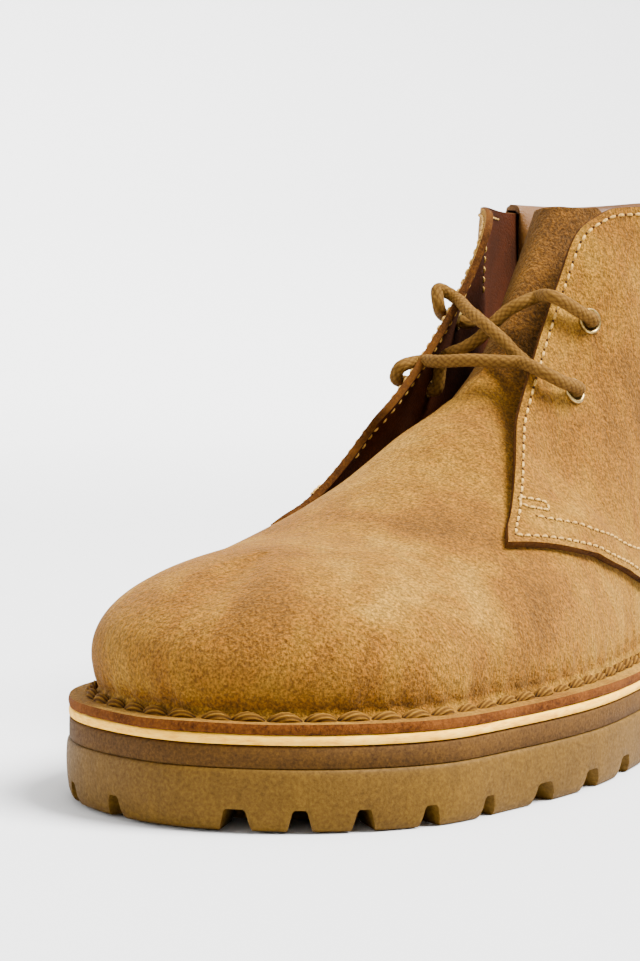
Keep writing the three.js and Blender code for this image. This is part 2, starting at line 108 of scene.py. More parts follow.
def on_last(x, y, z):
    """A point of the flat sole, lifted by the toe spring, the heel and the arch."""
    high = np.clip((z - LUG) / (OUTSOLE - LUG), 0, 1)
    toe = TOE_SPRING[2] * np.clip((x - TOE_SPRING[0]) / (TOE_SPRING[1] - TOE_SPRING[0]), 0, 1) ** 2
    heel = HEEL_RISE[2] * smooth((HEEL_RISE[0] - x) / (HEEL_RISE[0] - HEEL_RISE[1]))
    arch = ARCH[2] * np.sin(math.pi * np.clip((ARCH[0] - x) / (ARCH[0] - ARCH[1]), 0, 1)) ** 2
    return np.stack(np.broadcast_arrays(x, y, z + toe + high * heel + (1 - high) * arch), -1)


class Last:
    """The upper's surface, through the rows in a closed loop.

    A place on it is (w, q). w goes round the loop in rows, from 0 at the toe over the outer side to LAST at
    the heel, and below 0 over the inner side. q goes from -2 at the flange's edge to -1 at the crease, to 0
    above the crease and to 1 at the top.
    """

    def __init__(self, changed_rows):
        rows = [dict(zip(COLUMNS, row)) for row in SECTIONS]
        for index, change in changed_rows.items():
            rows[index].update(change)
        self.throat = min([k for k, row in enumerate(rows) if row["open"] > 0 and k < LAST])
        loop = [dict(row, y=row["outer"]) for row in rows]
        loop += [dict(row, y=row["inner"], open=-row["open"]) for row in rows[LAST - 1 : 0 : -1]]
        self.values = {name: np.array([row[name] for row in loop], float) for name in loop[0]}
        steps = [
            sum(math.hypot(b["x"] - a["x"], b[side] - a[side]) for side in ("outer", "inner")) / 2
            for a, b in zip(rows, rows[1:])
        ]
        self.spans = np.array(steps + steps[::-1])

    def value(self, name, w):
        values, spans = self.values[name], self.spans
        k = np.floor(w).astype(int)
        t = w - k
        p, q, r, s = (values[(k + step) % LOOP] for step in (-1, 0, 1, 2))
        before, span, after = (spans[(k + step) % LOOP] for step in (-1, 0, 1))
        leaving = ((q - p) / before * span + (r - q) / span * before) / (before + span)
        arriving = ((r - q) / span * after + (s - r) / after * span) / (span + after)
        return (
            (2 * t**3 - 3 * t**2 + 1) * q
            + (t**3 - 2 * t**2 + t) * span * leaving
            + (3 * t**2 - 2 * t**3) * r
            + (t**3 - t**2) * span * arriving
        )

    def edge(self, w, inset=0.0):
        """x and y of the sole's edge, or of a line inset from it, and the direction out of it."""
        step = 0.01
        before = [self.value(name, w - step) for name in "xy"]
        after = [self.value(name, w + step) for name in "xy"]
        out = np.stack([after[1] - before[1], before[0] - after[0]], -1)
        out /= np.linalg.norm(out, axis=-1, keepdims=True)
        x, y = self.value("x", w) - out[..., 0] * inset, self.value("y", w) - out[..., 1] * inset
        return x, y, out

    def top(self, w):
        signed = (w + LAST) % LOOP - LAST
        u, outer = np.abs(signed), np.where(signed >= 0, 1, -1)
        spread = outer * np.maximum(0, outer * self.value("open", w))
        spread = np.where(u <= self.throat - 1, 0, spread)
        y = self.value("ridge_y", w) + spread
        return np.stack([self.value("top_x", w), y, self.value("top_z", w)], -1)

    def handles(self, w):
        """The four points of the Bezier curve up the side at w."""
        x, y, out = self.edge(w, FLANGE + CREASE)
        out = np.concatenate([out, np.zeros(out.shape[:-1] + (1,))], -1)
        up = np.array([0.0, 0.0, 1.0])
        base = on_last(x, y, FLANGE_TOP + CREASE)
        top = self.top(w)
        u = np.abs((w + LAST) % LOOP - LAST)
        near, far = self.top(np.maximum(u, 0.1) - 0.05), self.top(np.maximum(u, 0.1) + 0.05)
        run = np.where(u < self.throat, far[..., 0] - near[..., 0], 1)
        slope = np.where(u < self.throat, (far[..., 2] - near[..., 2]) / run, 0)
        slope = slope * (1 - smooth((u - self.throat + 1.4) / 1.4))
        low = base + out * self.value("bulge", w)[..., None] + up * self.value("rise", w)[..., None]
        reach = self.value("reach", w)
        lift = out[..., 0] * reach * slope - self.value("drop", w)
        high = top + out * reach[..., None] + up * lift[..., None]
        return base, low, high, top

    def point(self, w, q):
        w, q = np.broadcast_arrays(np.asarray(w, float), np.asarray(q, float))
        base, low, high, top = self.handles(w)
        t = np.clip(q, 0, 1)[..., None]
        side = base * (1 - t) ** 3 + low * 3 * t * (1 - t) ** 2 + high * 3 * t**2 * (1 - t) + top * t**3
        past = np.maximum(q - 1, 0)[..., None]
        side = side + (top - high) * 3 * past
        turn = (np.clip(q, -1, 0) + 1) * math.pi / 2
        inset = TRIM + (FLANGE - TRIM) * (np.clip(q, -2, -1) + 2) + CREASE * np.sin(turn)
        x, y, _ = self.edge(w, inset)
        flange = on_last(x, y, FLANGE_TOP + CREASE * (1 - np.cos(turn)))
        return np.where(q[..., None] < 0, flange, side)

    def normal(self, w, q):
        w, q = np.broadcast_arrays(np.asarray(w, float), np.asarray(q, float))
        along = self.point(w + 0.02, q) - self.point(w - 0.02, q)
        up = self.point(w, q + 0.02) - self.point(w, q - 0.02)
        normal = np.cross(along, up)
        return normal / np.maximum(np.linalg.norm(normal, axis=-1, keepdims=True), 1e-9)

    def skin(self, w, q, offset):
        """A point out of the surface by offset."""
        return self.point(w, q) + self.normal(w, q) * np.asarray(offset, float)[..., None]


upper_form = Last({})
vamp_form = Last(TONGUE_ROWS)


# ---------------------------------------------------------------- curves and meshes
def between(at, low, high, first, second):
    """What runs straight from first, at low, to second, at high."""
    return first * (high - at) / (high - low) + second * (at - low) / (high - low)


def spline(points, count, metric=None):
    """count points, evenly far apart, on a smooth curve through the given ones. metric scales each axis."""
    points = np.asarray(points, float)
    scale = np.ones(points.shape[1]) if metric is None else np.asarray(metric, float)
    p = np.vstack([2 * points[0] - points[1], points, 2 * points[-1] - points[-2]])
    chords = np.linalg.norm(np.diff(p * scale, axis=0), axis=1) ** 0.5
    t = np.concatenate([[0], np.cumsum(chords)])
    fine = []
    for k in range(1, len(p) - 2):
        at = np.linspace(t[k], t[k + 1], 40, endpoint=False)[:, None]
        a1, a2, a3 = (between(at, t[m], t[m + 1], p[m], p[m + 1]) for m in (k - 1, k, k + 1))
        b1 = between(at, t[k - 1], t[k + 1], a1, a2)
        b2 = between(at, t[k], t[k + 2], a2, a3)
        fine.append(between(at, t[k], t[k + 1], b1, b2))
    return evenly(np.vstack(fine + [points[-1:]]), count, scale)


def lengths_along(points):
    """How far along a polyline each of its points is."""
    return np.concatenate([[0], np.cumsum(np.linalg.norm(np.diff(points, axis=0), axis=1))])


def evenly(points, count, scale=1.0):
    """count points evenly far apart along a polyline."""
    along = lengths_along(points * scale)
    places = np.linspace(0, along[-1], count)
    return np.stack([np.interp(places, along, column) for column in points.T], -1)


def length_of(points):
    return float(np.linalg.norm(np.diff(points, axis=0), axis=1).sum())


def unit(vectors):
    return vectors / np.maximum(np.linalg.norm(vectors, axis=-1, keepdims=True), 1e-12)


def quads(rows, columns, start=0):
    """The faces of a grid of points, row after row."""
    r, c = np.meshgrid(np.arange(rows - 1), np.arange(columns - 1), indexing="ij")
    a, b = r * columns + c, (r + 1) * columns + c
    return (np.stack([a, b, b + 1, a + 1], -1).reshape(-1, 4) + start).tolist()


def hoops(rows, columns, capped=True):
    """The faces between closed loops of points, one loop a row, and over both ends."""
    first = np.arange(rows - 1)[:, None] * columns
    a, b = first + np.arange(columns), first + (np.arange(columns) + 1) % columns
    faces = np.stack([a, b, b + columns, a + columns], -1).reshape(-1, 4).tolist()
    if capped:
        faces += [list(range(columns))[::-1], [(rows - 1) * columns + k for k in range(columns)]]
    return faces


def placed(name, data):
    """A new object in the scene."""
    made = bpy.data.objects.new(name, data)
    bpy.context.collection.objects.link(made)
    return made


def piece(name, points, faces, finishes, slot, nodes=(), face_finish=None, painted_shading=None, sharp=50, weld=True):
    """A mesh on the root body, from points in millimetres on the last."""
    mesh = bpy.data.meshes.new(name)
    mesh.from_pydata(to_scene(points).tolist(), [], faces)
    mesh.polygons.foreach_set("use_smooth", np.ones(len(faces), bool))
    for finish in finishes:
        mesh.materials.append(finish)
    if face_finish is not None:
        mesh.polygons.foreach_set("material_index", np.asarray(face_finish, np.int32))
    # This attribute carries painted shade to the materials that read it.
    if painted_shading is not None:
        layer = mesh.attributes.new("painted_shading", "FLOAT", "POINT")
        layer.data.foreach_set("value", np.asarray(painted_shading, np.float32).ravel())
    bm = bmesh.new()
    bm.from_mesh(mesh)
    if weld:
        bmesh.ops.remove_doubles(bm, verts=bm.verts, dist=2e-6)
        bmesh.ops.dissolve_degenerate(bm, edges=bm.edges, dist=1e-7)
    bmesh.ops.recalc_face_normals(bm, faces=bm.faces)
    bm.to_mesh(mesh)
    bm.free()
    mesh.set_sharp_from_angle(angle=math.radians(sharp))
    made = placed(name, mesh)
    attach(made, "root")
    if nodes:
        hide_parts(*nodes)
    return made


def border(rows, columns, folded):
    """Places in a grid of points round its edge, and the places next to them further in.

    A folded grid's first row lies on itself, so it is no edge.
    """
    r, c = np.arange(rows), np.arange(columns)
    if folded:
        rim_r = np.concatenate([r, 0 * c[1:-1] + rows - 1, r[::-1]])
        rim_c = np.concatenate([0 * r + columns - 1, c[-2:0:-1], 0 * r])
        return rim_r, rim_c, np.clip(rim_r, 0, rows - 2), np.clip(rim_c, 1, columns - 2)
    rim_r = np.concatenate([0 * c[:-1], r[:-1], 0 * c[:-1] + rows - 1, r[:0:-1]])
    rim_c = np.concatenate([c[:-1], 0 * r[:-1] + columns - 1, c[:0:-1], 0 * r[:0:-1]])
    return rim_r, rim_c, np.clip(rim_r, 1, rows - 2), np.clip(rim_c, 1, columns - 2)


EDGE_BULGE, EDGE_SHARES = 0.25, (0.25, 0.5, 0.75)  # how far a cut edge stands out, and where its rings are


def sheet(outer, inner, folded=False):
    """A closed sheet between two grids of points, and where each face is: 0 outside, 1 inside, 2 the edge."""
    rows, columns = outer.shape[:2]
    count = rows * columns
    faces = quads(rows, columns) + quads(rows, columns, start=count)
    sides = [0] * (len(faces) // 2) + [1] * (len(faces) // 2)
    rim_r, rim_c, next_r, next_c = border(rows, columns, folded)
    a, b = outer[rim_r, rim_c], inner[rim_r, rim_c]
    away = unit(a - outer[next_r, next_c])
    strip = [mix(a, b, share) + away * EDGE_BULGE * math.sin(math.pi * share) for share in EDGE_SHARES]
    rim = rim_r * columns + rim_c
    size = len(rim)
    loops = [rim] + [2 * count + k * size + np.arange(size) for k in range(len(strip))] + [rim + count]
    for low, high in zip(loops, loops[1:]):
        faces += np.stack([low, np.roll(low, -1), np.roll(high, -1), high], -1).tolist()
    sides += [2] * (len(faces) - len(sides))
    return np.vstack([outer.reshape(-1, 3), inner.reshape(-1, 3)] + strip), faces, sides


def tube(path, radius, around, relief):
    """A round cord along a path, with rounded ends, and the height of its relief at each point."""
    path = np.asarray(path, float)
    count = len(path)
    along = unit(np.gradient(path, axis=0))
    normals = np.empty_like(path)
    normals[0] = unit(np.cross(along[0], [0.3, 0.2, 1.0]))
    for k in range(1, count):
        normals[k] = unit(normals[k - 1] - along[k] * np.dot(normals[k - 1], along[k]))
    sideways = np.cross(along, normals)
    s = lengths_along(path)
    radius = np.broadcast_to(radius, count).astype(float)
    ends = np.minimum(s, s[-1] - s)
    radius = radius * np.sqrt(1 - (1 - np.clip(ends / radius, 0, 1)) ** 2 * 0.96)
    angle = np.arange(around) / around * 2 * math.pi
    height = relief(s[:, None], angle[None, :])
    r = radius[:, None] * (1 + height)
    ring = normals[:, None] * np.cos(angle)[None, :, None] + sideways[:, None] * np.sin(angle)[None, :, None]
    points = (path[:, None] + ring * r[..., None]).reshape(-1, 3)
    return points, hoops(count, around), height.ravel()


def joined(parts):
    """Several (points, faces) as one."""
    points, faces, start = [], [], 0
    for part_points, part_faces in parts:
        points.append(part_points)
        faces += [[start + k for k in face] for face in part_faces]
        start += len(part_points)
    return np.vstack(points), faces


# ---------------------------------------------------------------- materials
class Finish:
    """A node material, with short ways to add its nodes."""

    def __init__(self, name, **shader):
        self.material = bpy.data.materials.new(name)
        self.material.use_nodes = True
        self.tree = self.material.node_tree
        self.shader = self.tree.nodes["Principled BSDF"]
        self.place = self.node("ShaderNodeTexCoord").outputs["Object"]
        for socket, value in shader.items():
            self.shader.inputs[socket.replace("_", " ")].default_value = value

    def node(self, kind, inputs=None, **settings):
        made = self.tree.nodes.new(kind)
        for key, value in settings.items():
            setattr(made, key, value)
        for key, value in (inputs or {}).items():
            if isinstance(value, bpy.types.NodeSocket):
                self.tree.links.new(value, made.inputs[key])
            else:
                made.inputs[key].default_value = value
        return made

    def stretched(self, x, y, z):
        return self.node("ShaderNodeMapping", {"Vector": self.place, "Scale": (x, y, z)}).outputs[0]

    def noise(self, size, detail=2.0, roughness=0.5, distortion=0.0, place=None):
        """Noise whose features are about size millimetres."""
        inputs = {
            "Vector": place or self.place,
            "Scale": 500 / size,
            "Detail": detail,
            "Roughness": roughness,
            "Distortion": distortion,
        }
        return self.node("ShaderNodeTexNoise", inputs).outputs["Fac"]

    def cells(self, size):
        """How far it is to the edge of a cell."""
        inputs = {"Vector": self.place, "Scale": 1000 / size}
        return self.node("ShaderNodeTexVoronoi", inputs, feature="DISTANCE_TO_EDGE").outputs["Distance"]

    def math(self, operation, a, b):
        return self.node("ShaderNodeMath", {0: a, 1: b}, operation=operation).outputs[0]

    def weighted(self, *parts):
        """The sum of parts, each (value, share)."""
        total = None
        for value, share in parts:
            part = self.math("MULTIPLY", value, share)
            total = self.math("ADD", total, part) if total else part
        return total

    def ranged(self, value, low, high, to_low=0.0, to_high=1.0):
        inputs = {"Value": value, "From Min": low, "From Max": high, "To Min": to_low, "To Max": to_high}
        return self.node("ShaderNodeMapRange", inputs).outputs[0]

    def ramp(self, value, *stops):
        made = self.node("ShaderNodeValToRGB", {"Fac": value})
        elements = made.color_ramp.elements
        while len(elements) < len(stops):
            elements.new(0.5)
        for element, (place, tint) in zip(elements, stops):
            element.position, element.color = place, colour(tint)
        return made.outputs["Color"]

    def blend(self, factor, a, b, mode="MIX"):
        made = self.node("ShaderNodeMix", data_type="RGBA", blend_type=mode)
        for index, value in ((0, factor), (6, a), (7, b)):
            if isinstance(value, bpy.types.NodeSocket):
                self.tree.links.new(value, made.inputs[index])
            else:
                made.inputs[index].default_value = value if index == 0 else colour(value)
        return made.outputs[2]

    def attribute(self, name):
        return self.node("ShaderNodeAttribute", attribute_name=name).outputs["Fac"]

    def bump(self, *layers):
        """Bumps on top of one another, each (height, depth in millimetres)."""
        normal = None
        for height, depth in layers:
            inputs = {"Height": height, "Strength": 1.0, "Distance": depth / 1000}
            if normal:
                inputs["Normal"] = normal
            normal = self.node("ShaderNodeBump", inputs).outputs[0]
        self.tree.links.new(normal, self.shader.inputs["Normal"])

    def use(self, socket, value):
        self.tree.links.new(value, self.shader.inputs[socket])


def colour(tint):
    """A hex tint as the linear colour that the nodes work in."""
    parts = [int(tint[k : k + 2], 16) / 255 for k in (0, 2, 4)]
    return (*(p / 12.92 if p <= 0.04045 else ((p + 0.055) / 1.055) ** 2.4 for p in parts), 1.0)


def suede():
    made = Finish("suede", Roughness=0.95, Specular_IOR_Level=0.12, Sheen_Weight=0.25, Sheen_Roughness=0.45,
                  Sheen_Tint=colour("aa8040"))
    patches = made.noise(26, 3, 0.55, 0.6)
    smears = made.noise(7, 3, 0.6, 0.4, made.stretched(1, 1, 0.6))
    grain = made.noise(0.34, 3, 0.7)
    pores = made.noise(0.9, 2, 0.6)
    # The attribute adds painted shade in the crease and painted shadow over the tongue, and lightens the top
    # a little; the darkest stop is for that painted shade.
    level = made.math("ADD", made.weighted((patches, 0.55), (smears, 0.45)), made.attribute("painted_shading"))
    tints = (0.12, "442a0a"), (0.33, "64400f"), (0.44, "7a4f11"), (0.53, "885e15"), (0.64, "9b7327")
    ground = made.ramp(level, *tints)
    fuzz = made.ramp(grain, (0.36, "3c3428"), (0.5, "808080"), (0.64, "c6bba4"))
    made.use("Base Color", made.blend(0.75, ground, fuzz, "OVERLAY"))
    made.bump((grain, 0.5), (pores, 0.7), (smears, 0.25))
    return made.material


def cut_suede(name, dark, mid, light):
    """The sheared edge of the hide, with its fibres."""
    made = Finish(name, Roughness=0.95, Specular_IOR_Level=0.06)
    fibres = made.noise(0.5, 4, 0.75)
    patches = made.noise(5, 2)
    tint = made.ramp(fibres, (0.3, dark), (0.5, mid), (0.75, light))
    made.use("Base Color", made.blend(made.ranged(patches, 0.35, 0.7, 0, 0.5), tint, light))
    made.bump((fibres, 0.5))
    return made.material


def leather(name, dark, mid, light, roughness, grain=1.1, depth=0.06, shine=0.2):
    """Smooth grained leather."""
    made = Finish(name, Specular_IOR_Level=shine)
    wrinkles = made.ranged(made.cells(grain), 0.0, 0.22)
    patches = made.noise(18, 3, 0.6, 0.5)
    fine = made.noise(0.6, 2)
    tint = made.ramp(patches, (0.3, dark), (0.5, mid), (0.72, light))
    made.use("Base Color", made.blend(made.ranged(wrinkles, 0, 1, 0.35, 0), tint, dark))
    made.use("Roughness", made.ranged(patches, 0.3, 0.7, roughness + 0.08, roughness - 0.06))
    made.bump((wrinkles, depth), (fine, depth * 0.6))
    return made.material


def rubber(name, dark, mid, light, roughness, speck):
    made = Finish(name, Specular_IOR_Level=0.14)
    patches = made.noise(14, 3, 0.6)
    grain = made.noise(speck, 3, 0.7)
    streaks = made.noise(1.6, 2, 0.6, 0.0, made.stretched(1, 1, 0.25))
    level = made.weighted((patches, 0.22), (grain, 0.63), (streaks, 0.15))
    made.use("Base Color", made.ramp(level, (0.33, dark), (0.5, mid), (0.66, light)))
    made.use("Roughness", made.ranged(grain, 0.3, 0.7, roughness + 0.1, roughness - 0.08))
    made.bump((grain, 0.09), (streaks, 0.05))
    return made.material


def pale_leather():
    made = Finish("pale_leather", Roughness=0.8, Specular_IOR_Level=0.2)
    fibres = made.noise(0.7, 4, 0.7, 0.0, made.stretched(0.35, 0.35, 1.6))
    patches = made.noise(9, 2)
    tint = made.ramp(fibres, (0.3, "b87812"), (0.48, "e6a827"), (0.7, "f2c651"))
    made.use("Base Color", made.blend(made.ranged(patches, 0.35, 0.7, 0, 0.45), tint, "d0971e"))
    made.bump((fibres, 0.25))
    return made.material


def thread(name, dark, light):
    made = Finish(name, Roughness=0.75, Specular_IOR_Level=0.25)
    strands = made.noise(0.35, 2, 0.6)
    made.use("Base Color", made.ramp(strands, (0.35, dark), (0.65, light)))
    made.bump((strands, 0.1))
    return made.material


def welt_thread():
    made = Finish("welt_thread", Roughness=0.9, Specular_IOR_Level=0.08)
    strands = made.noise(0.5, 2, 0.6)
    # Painted shade in the grooves between the strands and at each stitch's ends.
    painted_hollow_shade = made.ranged(made.attribute("painted_shading"), -0.3, 0.0, 0.0, 0.75)
    level = made.math("ADD", painted_hollow_shade, made.math("MULTIPLY", strands, 0.3))
    made.use("Base Color", made.ramp(level, (0.2, "1c0e02"), (0.65, "5a3a0b"), (1.0, "86621f")))
    made.bump((strands, 0.12))
    return made.material


def braid():
    made = Finish("lace", Roughness=0.9, Specular_IOR_Level=0.1)
    strands = made.noise(0.3, 2, 0.6)
    patches = made.noise(6, 2)
    # Painted shade in the hollows of the weave.
    painted_hollow_shade = made.ranged(made.attribute("painted_shading"), -0.09, 0.04)
    level = made.weighted((strands, 0.35), (painted_hollow_shade, 0.55), (patches, 0.15))
    made.use("Base Color", made.ramp(level, (0.15, "231403"), (0.5, "4c320c"), (0.85, "694a1a")))
    made.bump((strands, 0.1))
    return made.material


def brass():
    made = Finish("antique_brass", Metallic=1.0)
    tarnish = made.noise(1.5, 4, 0.65)
    made.use("Base Color", made.ramp(tarnish, (0.35, "6e5626"), (0.55, "a08650"), (0.75, "cdb67e")))
    made.use("Roughness", made.ranged(tarnish, 0.3, 0.7, 0.42, 0.24))
    made.bump((tarnish, 0.02))
    return made.material


# A plain dark material, for the painted shade of the needle holes.
def dark(name, tint):
    made = Finish(name, Roughness=0.95, Specular_IOR_Level=0.1)
    made.use("Base Color", made.ramp(made.noise(0.6, 2), (0.3, tint), (0.7, "281405")))
    return made.material


SUEDE = suede()
CUT = cut_suede("cut_edge", "1f0b02", "482507", "6a3c14")
# A darker copy of the cut edge: painted shade on the quarters' edges and on the walls of the eyelets' holes.
SHADED_CUT = cut_suede("shaded_cut_edge", "170a01", "331a04", "52300c")
LINING = leather("lining_leather", "130601", "2e1202", "3f1904", 0.75, shine=0.06)
INSOLE = leather("insole_leather", "4f2910", "6d3f1c", "7e5028", 0.6)
COLLAR = leather("collar_leather", "412403", "583506", "64400a", 0.45, 0.9, 0.05)
TAN_RUBBER = rubber("tan_rubber", "3c2702", "4f3605", "5f4308", 0.7, 0.4)
DARK_RUBBER = rubber("dark_rubber", "291801", "402701", "503402", 0.8, 0.35)
PALE = pale_leather()
THREAD = thread("cream_thread", "86601e", "bd9448")
CHUNKY = welt_thread()
HOLE_SHADE = dark("needle_hole_shade", "241404")
LACE, BRASS = braid(), brass()


# ---------------------------------------------------------------- camera, light and floor
EYE = (0.6816, 0.3401, 0.123)
LENS, LOOK_DOWN, LOOK_ROUND = 112.4, 85.606, 120  # millimetres and degrees
camera_data = bpy.data.cameras.new("camera")
camera_data.lens, camera_data.sensor_width = LENS, 36
camera = placed("camera", camera_data)
camera.location = EYE
camera.rotation_euler = (math.radians(LOOK_DOWN), 0, math.radians(LOOK_ROUND))
bpy.context.scene.camera = camera


def softbox(name, place, aim, size, power):
    data = bpy.data.lights.new(name, "AREA")
    data.shape, data.size, data.energy = "DISK", size, power
    light = placed(name, data)
    light.location = place
    light.rotation_euler = (Vector(aim) - Vector(place)).to_track_quat("-Z", "Y").to_euler()


softbox("overhead", (0.0, 0.2, 1.5), (0.02, 0, 0.05), 1.6, 34)
softbox("backdrop", (-1.0, -0.6, 1.3), (-2.7, -1.5, 0.5), 1.2, 55)
softbox("rim", (-1.1, 0.5, 0.8), (0, 0, 0.07), 0.8, 7)
sun = bpy.data.lights.new("key", "SUN")
sun.energy, sun.angle = 18.0, math.radians(28)
key = placed("key", sun)
key.rotation_euler = Vector((-0.2, 0.62, 0.9)).to_track_quat("Z", "Y").to_euler()

world = bpy.data.worlds.new("studio")
world.use_nodes = True
world.node_tree.nodes["Background"].inputs["Color"].default_value = (0.93, 0.93, 0.93, 1)
world.node_tree.nodes["Background"].inputs["Strength"].default_value = 0.4
bpy.context.scene.world = world


def floor():
    """A pale floor that curves up far behind, all round."""
    profile = [(0.0, 0.0), (1.2, 0.0), (1.8, 0.02), (2.3, 0.15), (2.7, 0.5), (2.9, 1.1), (3.0, 2.2)]
    around = 96
    angle = np.arange(around) / around * 2 * math.pi
    rings = [np.stack([r * np.cos(angle), r * np.sin(angle), 0 * angle + z], -1) for r, z in profile[1:]]
    points = np.vstack([[[0.0, 0.0, 0.0]]] + rings)
    faces = [[0, 1 + k, 1 + (k + 1) % around] for k in range(around)]
    for ring in range(len(rings) - 1):
        for k in range(around):
            a, b = 1 + ring * around + k, 1 + ring * around + (k + 1) % around
            faces.append([a, a + around, b + around, b])
    mesh = bpy.data.meshes.new("floor")
    mesh.from_pydata(points.tolist(), [], faces)
    mesh.polygons.foreach_set("use_smooth", np.ones(len(faces), bool))
    made = Finish("floor", Roughness=0.75, Specular_IOR_Level=0.15)
    made.use("Base Color", made.ramp(made.noise(300, 1), (0.3, "c8c8c8"), (0.7, "cbcbcb")))
    mesh.materials.append(made.material)
    backdrop = placed("floor", mesh)


floor()


# ---------------------------------------------------------------- where the panels meet, in rows and levels
# The quarter's front edge and its lower seam, from its front corner, on the outer side and on the inner one.
# Levels below 0 are the crease and flange.
FRONT_EDGE = {
    1: [(4.88, 0.52), (5.2, 0.587), (5.55, 0.634), (6.0, 0.667), (6.5, 0.702), (7.1, 0.79), (7.76, 0.886),
        (8.1, 0.96), (8.3, 1.0)],
    -1: [(5.2, 0.47), (5.6, 0.53), (6.0, 0.58), (6.4, 0.63), (6.8, 0.69), (7.35, 0.80), (7.88, 0.93),
         (8.15, 1.0)],
}
SEAM_REAR = [(7.98, 0.14), (8.75, 0.075), (9.25, 0.01), (9.42, -0.6), (9.5, -1.2), (9.52, -2.0)]
SEAM = {
    1: [(4.88, 0.52), (5.3, 0.445), (5.9, 0.34), (6.33, 0.28), (7.1, 0.21)] + SEAM_REAR,
    -1: [(5.2, 0.47), (5.5, 0.40), (5.95, 0.32), (6.4, 0.265), (7.1, 0.205)] + SEAM_REAR,
}
LOW = 0.12  # how much of a level's height the flange and the crease each take in a grid
SUEDE_THICK = 1.9
PANEL = (24.0, 75.0)  # millimetres for a row and for a level, roughly


def pack_level(q):
    return np.where(q < 0, q * LOW, q)


def unpack_level(p):
    return np.where(p < 0, p / LOW, p)


_front = {side: np.array(SEAM[side][::-1] + FRONT_EDGE[side][1:]) for side in (1, -1)}


def behind_front(side, u, q):
    """How many rows a place is behind the quarter's front edge or its seam."""
    return u - np.interp(q, _front[side][:, 1], _front[side][:, 0])


def row_places(form, start, stop, count):
    """Rows from start to stop, evenly far apart along the sole."""
    knots = np.concatenate([[0], np.cumsum(form.spans[:LAST])])
    rows = np.arange(LAST + 1)
    first, last = np.interp([start, stop], rows, knots)
    return np.interp(np.linspace(first, last, count), knots, rows)


def grid_normals(points):
    return unit(np.cross(np.gradient(points, axis=0), np.gradient(points, axis=1)))


def ripple(points, seed, size, height):
    """A small smooth unevenness at each point, from a few waves in fixed random directions."""
    rng = np.random.default_rng(seed)
    total = np.zeros(points.shape[:-1])
    for _ in range(9):
        direction = unit(rng.normal(size=3))
        length = size * rng.uniform(0.7, 1.6)
        total += np.sin(points @ direction * 2 * math.pi / length + rng.uniform(0, 6.28))
    return total / 3 * height


def thickness(q):
    """How thick the suede is: its out-turned edge is swollen."""
    return SUEDE_THICK + 0.3 * smooth((-0.4 - q) / 0.6)


# ---------------------------------------------------------------- how the crease is drawn in
WELT_PITCH = 7.5
_w = np.linspace(0, LAST, 4001)


def crease_lengths(side):
    return lengths_along(upper_form.point(side * _w, -0.9))


CREASE_LENGTHS = {side: crease_lengths(side) for side in (1, -1)}


def pinch(side, u, q):
    """The suede swells above each chunky stitch and is drawn in between two."""
    s = np.interp(u, _w, CREASE_LENGTHS[side])
    return 0.32 * np.cos(2 * math.pi * s / WELT_PITCH) * np.exp(-(((q - 0.01) / 0.055) ** 2)) * (q > -0.6)


# ---------------------------------------------------------------- vamp, which runs on up as the tongue
TONGUE_FROM, VAMP_END = 9.6, 10.32  # the rows where the tongue's end begins and the grid's rows stop
VAMP_ROWS, VAMP_COLUMNS = 200, 76
# Soft troughs across the vamp: row, level near which each reaches its full depth, depth and width.
FOLDS = [(7.62, 0.93, 0.9, 1.1), (7.15, 0.9, 0.5, 1.6), (8.1, 0.95, 0.8, 1.2), (5.6, 0.86, 0.45, 2.6)]


def tongue_tops(us, q):
    """Takes the rows past the throat on to the tongue's top, which is nearly level with rounded corners."""
    target = 135.2 - 12 * smooth((0.76 - q) / 0.13) - 0.8 * smooth((0.95 - q) / 0.2)
    table = np.linspace(TONGUE_FROM, 11.98, 90)
    grid_u, grid_q = np.meshgrid(table, q[-1], indexing="ij")
    heights = vamp_form.point(grid_u, grid_q)[..., 2]
    ends = np.array([np.interp(z, column, table) for z, column in zip(target[-1], heights.T)])
    share = np.clip((us - TONGUE_FROM) / (VAMP_END - TONGUE_FROM), 0, None)
    return np.where(us > TONGUE_FROM, TONGUE_FROM + share * (ends[None] - TONGUE_FROM), us)


